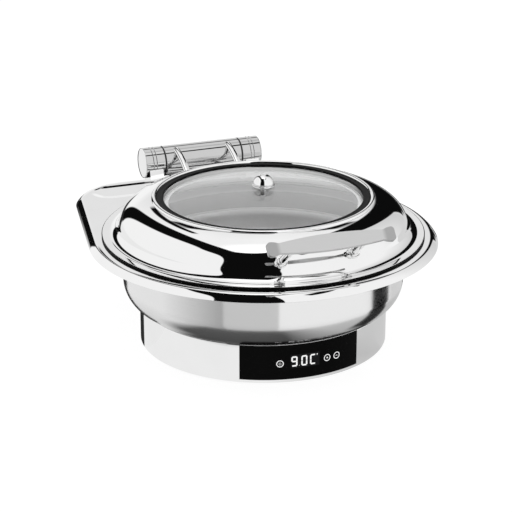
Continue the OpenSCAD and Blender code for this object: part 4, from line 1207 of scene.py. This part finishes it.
def handle_half_width(x):
    """Half width of the handle bar: full in the middle, drawn in at the necks, flared at the ends."""
    if x <= HANDLE_NECK_X:
        return HANDLE_MID - (HANDLE_MID - HANDLE_NECK) * (x / HANDLE_NECK_X) ** 2
    end_x = HANDLE_L / 2 - HANDLE_END_R
    if x <= end_x:
        flare = math.sin(math.pi / 2 * (x - HANDLE_NECK_X) / (end_x - HANDLE_NECK_X))
        return HANDLE_NECK + (HANDLE_END - HANDLE_NECK) * flare
    past = min((x - end_x) / HANDLE_END_R, 1.0)
    return HANDLE_END - HANDLE_END_R + HANDLE_END_R * math.sqrt(max(1.0 - past * past, 0.0))


def make_handle():
    """The flat bar with softly rounded edges."""
    deselect_all()
    bpy.ops.mesh.primitive_grid_add(x_subdivisions=96, y_subdivisions=6, size=1.0)
    piece = bpy.context.object
    piece.name = "handle_paddle"
    half_l = HANDLE_L / 2
    for vertex in piece.data.vertices:
        along = math.sin(vertex.co.x * math.pi) * half_l
        width = handle_half_width(abs(along)) * 2.0 * vertex.co.y
        vertex.co = Vector((along, width, 0.0)) * MM
    apply_modifier(piece, "SOLIDIFY", thickness=HANDLE_T * MM, offset=0.0)
    sharp = math.radians(50.0)
    width = HANDLE_ROUND * MM
    apply_modifier(piece, "BEVEL", width=width, segments=5, limit_method="ANGLE", angle_limit=sharp)
    face_outwards(piece, merge=MM / 100)
    smooth(piece, angle=40.0)
    run, rise = POST_L * math.cos(HANDLE_TILT), POST_L * math.sin(HANDLE_TILT)
    bar_at = (0.0, POST_FOOT[0] - run, POST_FOOT[1] + rise)
    place(piece, (math.pi / 2 - HANDLE_TILT, 0.0, 0.0), bar_at)
    return dress(piece, bar_satin, "lid", "satin_steel", "handle_bar")


def make_posts():
    """Two turned posts with a round foot on the dome."""
    sink = 2.5
    foot_h = 3.0
    foot_round = 1.0
    fillet = 1.5
    ease = 0.5
    top = POST_L - HANDLE_T / 2
    outline = [(0.0, -sink), (POST_FOOT_R, -sink)]
    outline += arc((POST_FOOT_R - foot_round, foot_h - foot_round), foot_round, 0, 90, steps=5)
    outline += arc((POST_R + fillet, foot_h + fillet), fillet, -90, -180, steps=6)
    outline += [(POST_R, top - ease), (POST_R - ease, top), (0.0, top)]
    right = lathe("handle_post_turned_right", outline, steps=64)
    turn = (math.pi / 2 - HANDLE_TILT, 0.0, 0.0)
    left = copy_of(right, "handle_post_turned_left")
    for piece, x in ((right, POST_X), (left, -POST_X)):
        place(piece, turn, (x, POST_FOOT[0], POST_FOOT[1]))
    dress(right, mirror, "lid", "polished_steel", "handle_post_right")
    dress(left, mirror, "lid", "polished_steel", "handle_post_left")


# Hinge

def tube_piece(name, outline):
    """A piece turned about the hinge's axis, from (radius, x) points."""
    piece = lathe(name, outline, steps=128)
    place(piece, (0.0, math.pi / 2, 0.0), (0.0, HINGE_Y, HINGE_Z))
    return piece


def make_hinge():
    """The polished tube: a turning barrel between two fixed sleeves with caps and black rings."""
    ease = 0.5
    bore = TUBE_R - TUBE_WALL
    barrel = [(bore, -BARREL_X), (TUBE_R - ease, -BARREL_X), (TUBE_R, -BARREL_X + ease)]
    barrel += [(TUBE_R, BARREL_X - ease), (TUBE_R - ease, BARREL_X), (bore, BARREL_X), (bore, -BARREL_X)]
    dress(tube_piece("hinge_barrel_turned", barrel), tube_shaded_mirror, "lid", "polished_steel", "hinge_barrel")

    groove = 0.6
    sleeve = [(bore, SLEEVE_X0), (TUBE_R - ease, SLEEVE_X0), (TUBE_R, SLEEVE_X0 + ease)]
    for step in (0.0, GROOVE_STEP):
        at = GROOVE_X + step
        sleeve += [(TUBE_R, at - groove), (TUBE_R - groove, at), (TUBE_R, at + groove)]
    sleeve += [(TUBE_R, SLEEVE_X1 - ease), (TUBE_R - ease, SLEEVE_X1), (bore, SLEEVE_X1), (bore, SLEEVE_X0)]
    right = tube_piece("hinge_sleeve_turned_right", sleeve)
    left = mirrored(right, "hinge_sleeve_turned_left")
    dress(right, tube_shaded_mirror, "dish", "polished_steel", "hinge_sleeve_right")
    dress(left, tube_shaded_mirror, "dish", "polished_steel", "hinge_sleeve_left")

    cap_edge = 0.2
    crown_w = 12.0
    crown_h = CAP_X - SLEEVE_X1 - cap_edge
    plug_l = 2.4
    plug_gap = 0.1
    plug_x = SLEEVE_X1 - plug_l
    plug_r = bore - plug_gap
    cap = [(0.0, plug_x), (plug_r, plug_x), (plug_r, SLEEVE_X1), (TUBE_R, SLEEVE_X1)]
    for across, along in arc((0.0, 0.0), 1.0, 0, 90, steps=12):
        cap += [(TUBE_R - crown_w * (1.0 - across), CAP_X - crown_h * (1.0 - along))]
    cap += [(0.0, CAP_X)]
    right = tube_piece("hinge_cap_turned_right", cap)
    left = mirrored(right, "hinge_cap_turned_left")
    dress(right, mirror, "dish", "polished_steel", "hinge_cap_right")
    dress(left, mirror, "dish", "polished_steel", "hinge_cap_left")


def make_arms():
    """Two bowed straps with round edges, from the barrel's top to the dome."""
    root_r = TUBE_R - ARM_ROOT_IN
    root = Vector((HINGE_Y + root_r * math.cos(ARM_ROOT_ANGLE), HINGE_Z + root_r * math.sin(ARM_ROOT_ANGLE)))
    foot = Vector((
        DOME_C + DOME_RUN * math.cos(ARM_FOOT_ANGLE),
        DOME_Z + DOME_RISE * math.sin(ARM_FOOT_ANGLE),
    ))
    span = foot - root
    half = span.length / 2
    bow_r = (half * half + ARM_BOW * ARM_BOW) / (2 * ARM_BOW)
    normal = Vector((span.y, -span.x)).normalized()
    if normal.y < 0.0:
        normal = -normal
    centre = (root + foot) / 2 + normal * (ARM_BOW - bow_r)
    start = root - centre
    end = foot - centre
    start_angle = math.atan2(start.y, start.x)
    sweep = math.atan2(end.y, end.x) - start_angle

    section = [
        Vector((ARM_W / 2 * across, 0.0, ARM_T / 2 * along)) * MM
        for across, along in arc((0.0, 0.0), 1.0, 0, 360, steps=32)
    ]
    right = draw_line("hinge_arm_strap_right", section)
    bpy.ops.mesh.remove_doubles(threshold=MM / 400)
    leave_edit()
    place(right, (start_angle - math.pi / 2, 0.0, 0.0), (ARM_X, root.x, root.y))
    edit(right)
    bpy.ops.mesh.select_all(action="SELECT")
    middle = Vector((ARM_X, centre.x, centre.y)) * MM
    bpy.ops.mesh.spin(steps=24, angle=-sweep, center=middle, axis=(1.0, 0.0, 0.0))
    bpy.ops.mesh.select_all(action="SELECT")
    bpy.ops.mesh.fill_holes(sides=0)
    bpy.ops.mesh.normals_make_consistent(inside=False)
    leave_edit()
    smooth(right, angle=40.0)

    sink = 6.0
    foot_h = 1.6
    foot_round = 1.0
    boss_r = 5.5
    boss_h = 8.0
    ease_in, ease_down = 1.5, 2.0
    outline = [(0.0, -sink), (POST_FOOT_R, -sink), (POST_FOOT_R, foot_h)]
    outline += arc((POST_FOOT_R - foot_round, foot_h), foot_round, 0, 90, steps=4)
    outline += [(boss_r, foot_h + foot_round), (boss_r, boss_h - ease_down)]
    outline += [(boss_r - ease_in, boss_h), (0.0, boss_h)]
    boss = lathe("arm_boss", outline, steps=48)
    direction = -Vector((-end.y, end.x)).normalized() * (1 if sweep > 0 else -1)
    tilt = math.atan2(direction.x, direction.y)
    place(boss, (-tilt, 0.0, 0.0), (ARM_X, foot.x, foot.y))
    right = join("hinge_arm_strap_right", [right, boss])
    left = mirrored(right, "hinge_arm_strap_left")
    dress(right, mirror, "lid", "polished_steel", "hinge_arm_right")
    dress(left, mirror, "lid", "polished_steel", "hinge_arm_left")


# Studio

def make_camera():
    """A camera at the photograph's fitted place."""
    a, e = CAM_AZIMUTH, CAM_HEIGHT_ANGLE
    right = Vector((math.cos(a), math.sin(a), 0.0))
    back = Vector((math.sin(a) * math.cos(e), -math.cos(a) * math.cos(e), math.sin(e)))
    up = back.cross(right)
    pixel = CAM_DISTANCE / CAM_FOCAL
    spot = Vector((0.0, 0.0, CAM_TARGET_Z)) + back * CAM_DISTANCE
    spot += up * CAM_OFFSET[1] * pixel - right * CAM_OFFSET[0] * pixel
    data = bpy.data.cameras.new("photo_camera")
    data.sensor_width = CAM_SENSOR
    data.lens = data.sensor_width * CAM_FOCAL / PICTURE
    camera = bpy.data.objects.new("photo_camera", data)
    bpy.context.scene.collection.objects.link(camera)
    turn = Matrix((right, up, back)).transposed().to_4x4()
    camera.matrix_world = Matrix.Translation(spot * MM) @ turn
    bpy.context.scene.camera = camera


def from_camera(x, y):
    """A place on the floor or a direction, to the camera's right and towards the camera."""
    sin_a, cos_a = math.sin(CAM_AZIMUTH), math.cos(CAM_AZIMUTH)
    return x * cos_a + y * sin_a, x * sin_a - y * cos_a


def any_of(first, *others):
    """1 where any of some masks is 1."""
    none = 1.0 - first
    for mask in others:
        none = none * (1.0 - mask)
    return 1.0 - none


def floor_tone(tree, sideways, towards):
    """How light polished steel shows the floor: darker to the right, with painted shade in front under the
    dish and a painted dark stripe, both only where it looks down steeply.
    """
    slant = put(tree, "ShaderNodeLayerWeight", {}, {"Blend": 0.5}, out=1)
    # Painted shade under the dish's front, and a painted dark stripe, in the floor's glow for steel.
    front = slant.under(*FRONT_SLANT) * towards.over(*FRONT_NEAR) * sideways.within(FRONT_LEFT, FRONT_RIGHT)
    stripe = slant.under(*STRIPE_SLANT) * (towards + sideways * STRIPE_NEAR_LEAN).under(*STRIPE_NEAR)
    stripe = stripe * (towards + sideways * STRIPE_FAR_LEAN).over(*STRIPE_FAR) * sideways.over(*STRIPE_LEFT)
    tone = FLOOR_TONE - sideways.over(*FLOOR_RIGHT) * FLOOR_RIGHT_FADE
    return tone * (1.0 - front * FRONT_SHADE) * (1.0 - stripe * STRIPE_DARK)


def make_floor():
    """A wide white floor with a soft shadow. Polished steel shows it near by, and the studio beyond it."""
    deselect_all()
    bpy.ops.mesh.primitive_plane_add(size=FLOOR_SIZE)
    floor = bpy.context.object
    floor.name = "studio_floor"
    material, tree, spot = new_material("studio_white")
    x, y, z = split(tree, spot)
    sideways, towards = from_camera(x, y)
    far = ((x * x + y * y) ** 0.5).over(*FLOOR_SHOWN)
    behind = (towards + sideways * BEHIND_LEAN).under(*BEHIND_EDGE) * sideways.under(*BEHIND_RIGHT)
    far = far.math("MAXIMUM", far, behind)
    path = tree.nodes.new("ShaderNodeLightPath")
    glossy = Shade(tree, path.outputs["Is Glossy Ray"])
    seen = Shade(tree, path.outputs["Is Camera Ray"])
    seen = seen.math("MAXIMUM", seen, Shade(tree, path.outputs["Is Transmission Ray"]))
    paint = put(tree, "ShaderNodeBsdfDiffuse", {}, {"Color": grey(FLOOR_PAINT)})
    level = seen * FLOOR_SEEN + glossy * floor_tone(tree, sideways, towards)
    glow = put(tree, "ShaderNodeEmission", {}, {"Color": level, "Strength": 1.0})
    clear = put(tree, "ShaderNodeBsdfTransparent", {}, {})
    lit = put(tree, "ShaderNodeMixShader", {}, {0: seen * FLOOR_SEEN_SHARE + glossy, 1: paint, 2: glow})
    mixed = put(tree, "ShaderNodeMixShader", {}, {0: glossy * far, 1: lit, 2: clear})
    output = tree.nodes.new("ShaderNodeOutputMaterial")
    tree.links.new(mixed.socket, output.inputs["Surface"])
    floor.data.materials.append(material)


def dark_gaps(azimuth, height):
    """1 in the studio's dark places: between the soft boxes, and on strips behind and above the object."""
    raised = height.math("MAXIMUM", height, 0.0)
    across = (azimuth - LEFT_BOX_AT) / LEFT_BOX_HALF
    power = across.over(*LEFT_BOX_SIDE) * LEFT_BOX_SQUARER + LEFT_BOX_POWER
    left_box = (abs(across) ** power + (raised / LEFT_BOX_TOP) ** power).under(*LEFT_BOX_EDGE)
    across = azimuth.math("MINIMUM", (azimuth - ARCH_AT) / ARCH_HALF, 0.0)
    top = azimuth.over(*ARCH_RISE_SPAN) * ARCH_RISE + ARCH_TOP
    arch = (abs(across) ** ARCH_POWER + (raised / top) ** ARCH_POWER).under(*ARCH_EDGE)
    right_edge = raised.over(*GAP_LEAN_SPAN) * GAP_LEAN + GAP_RIGHT
    gap = arch * (azimuth - right_edge).under(*GAP_EDGE) * (1.0 - left_box)

    strip_in = STRIP_IN - raised.over(*STRIP_IN_SPAN) * STRIP_IN_LEAN
    strip_out = STRIP_OUT - raised.over(*STRIP_OUT_SPAN) * STRIP_OUT_LEAN
    strip = (azimuth - strip_in).over(*STRIP_EDGE) * (azimuth - strip_out).under(*STRIP_EDGE)
    strip = strip * height.under(*STRIP_TOP)

    seam_at = (height - SEAM_HEIGHT) * SEAM_LEAN + SEAM_AT
    seam = abs(azimuth - seam_at).under(*SEAM_HALF) * height.within(SEAM_LOW, SEAM_HIGH)
    rail = height.within(RAIL_LOW, RAIL_HIGH) * abs(azimuth).over(*RAIL_SIDE)
    batten = abs(height - BATTEN_HEIGHT).under(*BATTEN_HALF) * azimuth.within(BATTEN_LEFT, BATTEN_RIGHT)
    return any_of(gap, strip, seam, rail, batten)


def studio_above(azimuth, height):
    """The light of the studio's walls and ceiling."""
    dark = dark_gaps(azimuth, height)
    right_fade = azimuth.within(FADE_LEFT, FADE_RIGHT) * FADE
    rear_fade = abs(azimuth).over(*REAR_SIDE) * height.within(REAR_LOW, REAR_HIGH) * REAR_FADE
    white = 1.0 - right_fade - rear_fade + height.over(*OVERHEAD) * OVERHEAD_GLOW
    return white * (1.0 - dark) + dark * GAP_TONE


def studio_below(azimuth, height):
    """The light from below the horizon, which polished steel shows beyond the floor."""
    left = azimuth.under(*LOW_LEFT)
    right = azimuth.over(*LOW_RIGHT)
    low = left * (azimuth.under(*LOW_LEFT_RAMP) * LOW_LEFT_GAIN + LOW_LEFT_TONE)
    low = low + right * (1.0 - azimuth.over(*LOW_RIGHT_BACK) * LOW_RIGHT_FADE)
    low = low + (1.0 - left) * (1.0 - right) * LOW_FRONT_TONE
    stripe = azimuth.within(LOW_STRIPE_LEFT, LOW_STRIPE_RIGHT) * height.under(*LOW_STRIPE_TOP)
    back_left = azimuth.under(*BACK_LEFT)
    back_left = back_left * (1.0 - azimuth.under(*BACK_LEFT_END) * height.over(*BACK_LEFT_TOP))
    back_right = azimuth.over(*BACK_RIGHT) * height.under(*BACK_RIGHT_TOP)
    strip_foot = azimuth.within(STRIP_FOOT_LEFT, STRIP_FOOT_RIGHT) * height.over(*STRIP_FOOT_LOW)
    back = any_of(back_left, back_right, strip_foot)
    return low * (1.0 - stripe) * (1.0 - back * BACK_DARK)


def make_studio_light():
    """White walls and ceiling with dark gaps between the soft boxes, and a plain light for matt faces."""
    world = bpy.data.worlds.new("studio")
    bpy.context.scene.world = world
    world.use_nodes = True
    tree = world.node_tree
    tree.nodes.clear()
    x, y, z = split(tree, put(tree, "ShaderNodeTexCoord", {}, {}, out=0))
    sideways, towards = from_camera(x, y)
    azimuth = x.math("ARCTAN2", sideways, towards) * DEGREES
    height = x.math("ARCSINE", z) * DEGREES
    ground = height.under(*HORIZON)
    level = studio_above(azimuth, height) * (1.0 - ground) + studio_below(azimuth, height) * ground
    path = tree.nodes.new("ShaderNodeLightPath")
    seen = Shade(tree, path.outputs["Is Camera Ray"])
    matt = Shade(tree, path.outputs["Is Diffuse Ray"])
    plain = height.over(*PLAIN_HIGH) * PLAIN_GAIN + PLAIN_TONE
    shown = (level * (1.0 - matt) + plain * matt) * (1.0 - seen) + seen
    back = put(tree, "ShaderNodeBackground", {}, {"Color": shown, "Strength": 1.0})
    output = tree.nodes.new("ShaderNodeOutputWorld")
    tree.links.new(back.socket, output.inputs["Surface"])


def paint_cad_nodes():
    """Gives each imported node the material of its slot."""
    slots = {part["node"]: part["material_slot"] for part in frame["record"]["subparts"]}
    for name, node in frame["nodes"].items():
        node.data.materials.clear()
        node.data.materials.append(SLOT_MATERIAL[slots[name]])


paint_cad_nodes()
make_camera()
make_floor()
make_studio_light()
make_stand()
make_panel()
make_display_window()
make_display()
make_key_icons()
make_water_pan()
make_rim()
make_food_pan()
make_lid()
make_lid_edge_ring()
make_glass()
make_gasket()
make_knob()
make_handle()
make_posts()
make_hinge()
make_arms()

bpy.context.scene.view_settings.view_transform = "Standard"
bpy.context.view_layer.update()
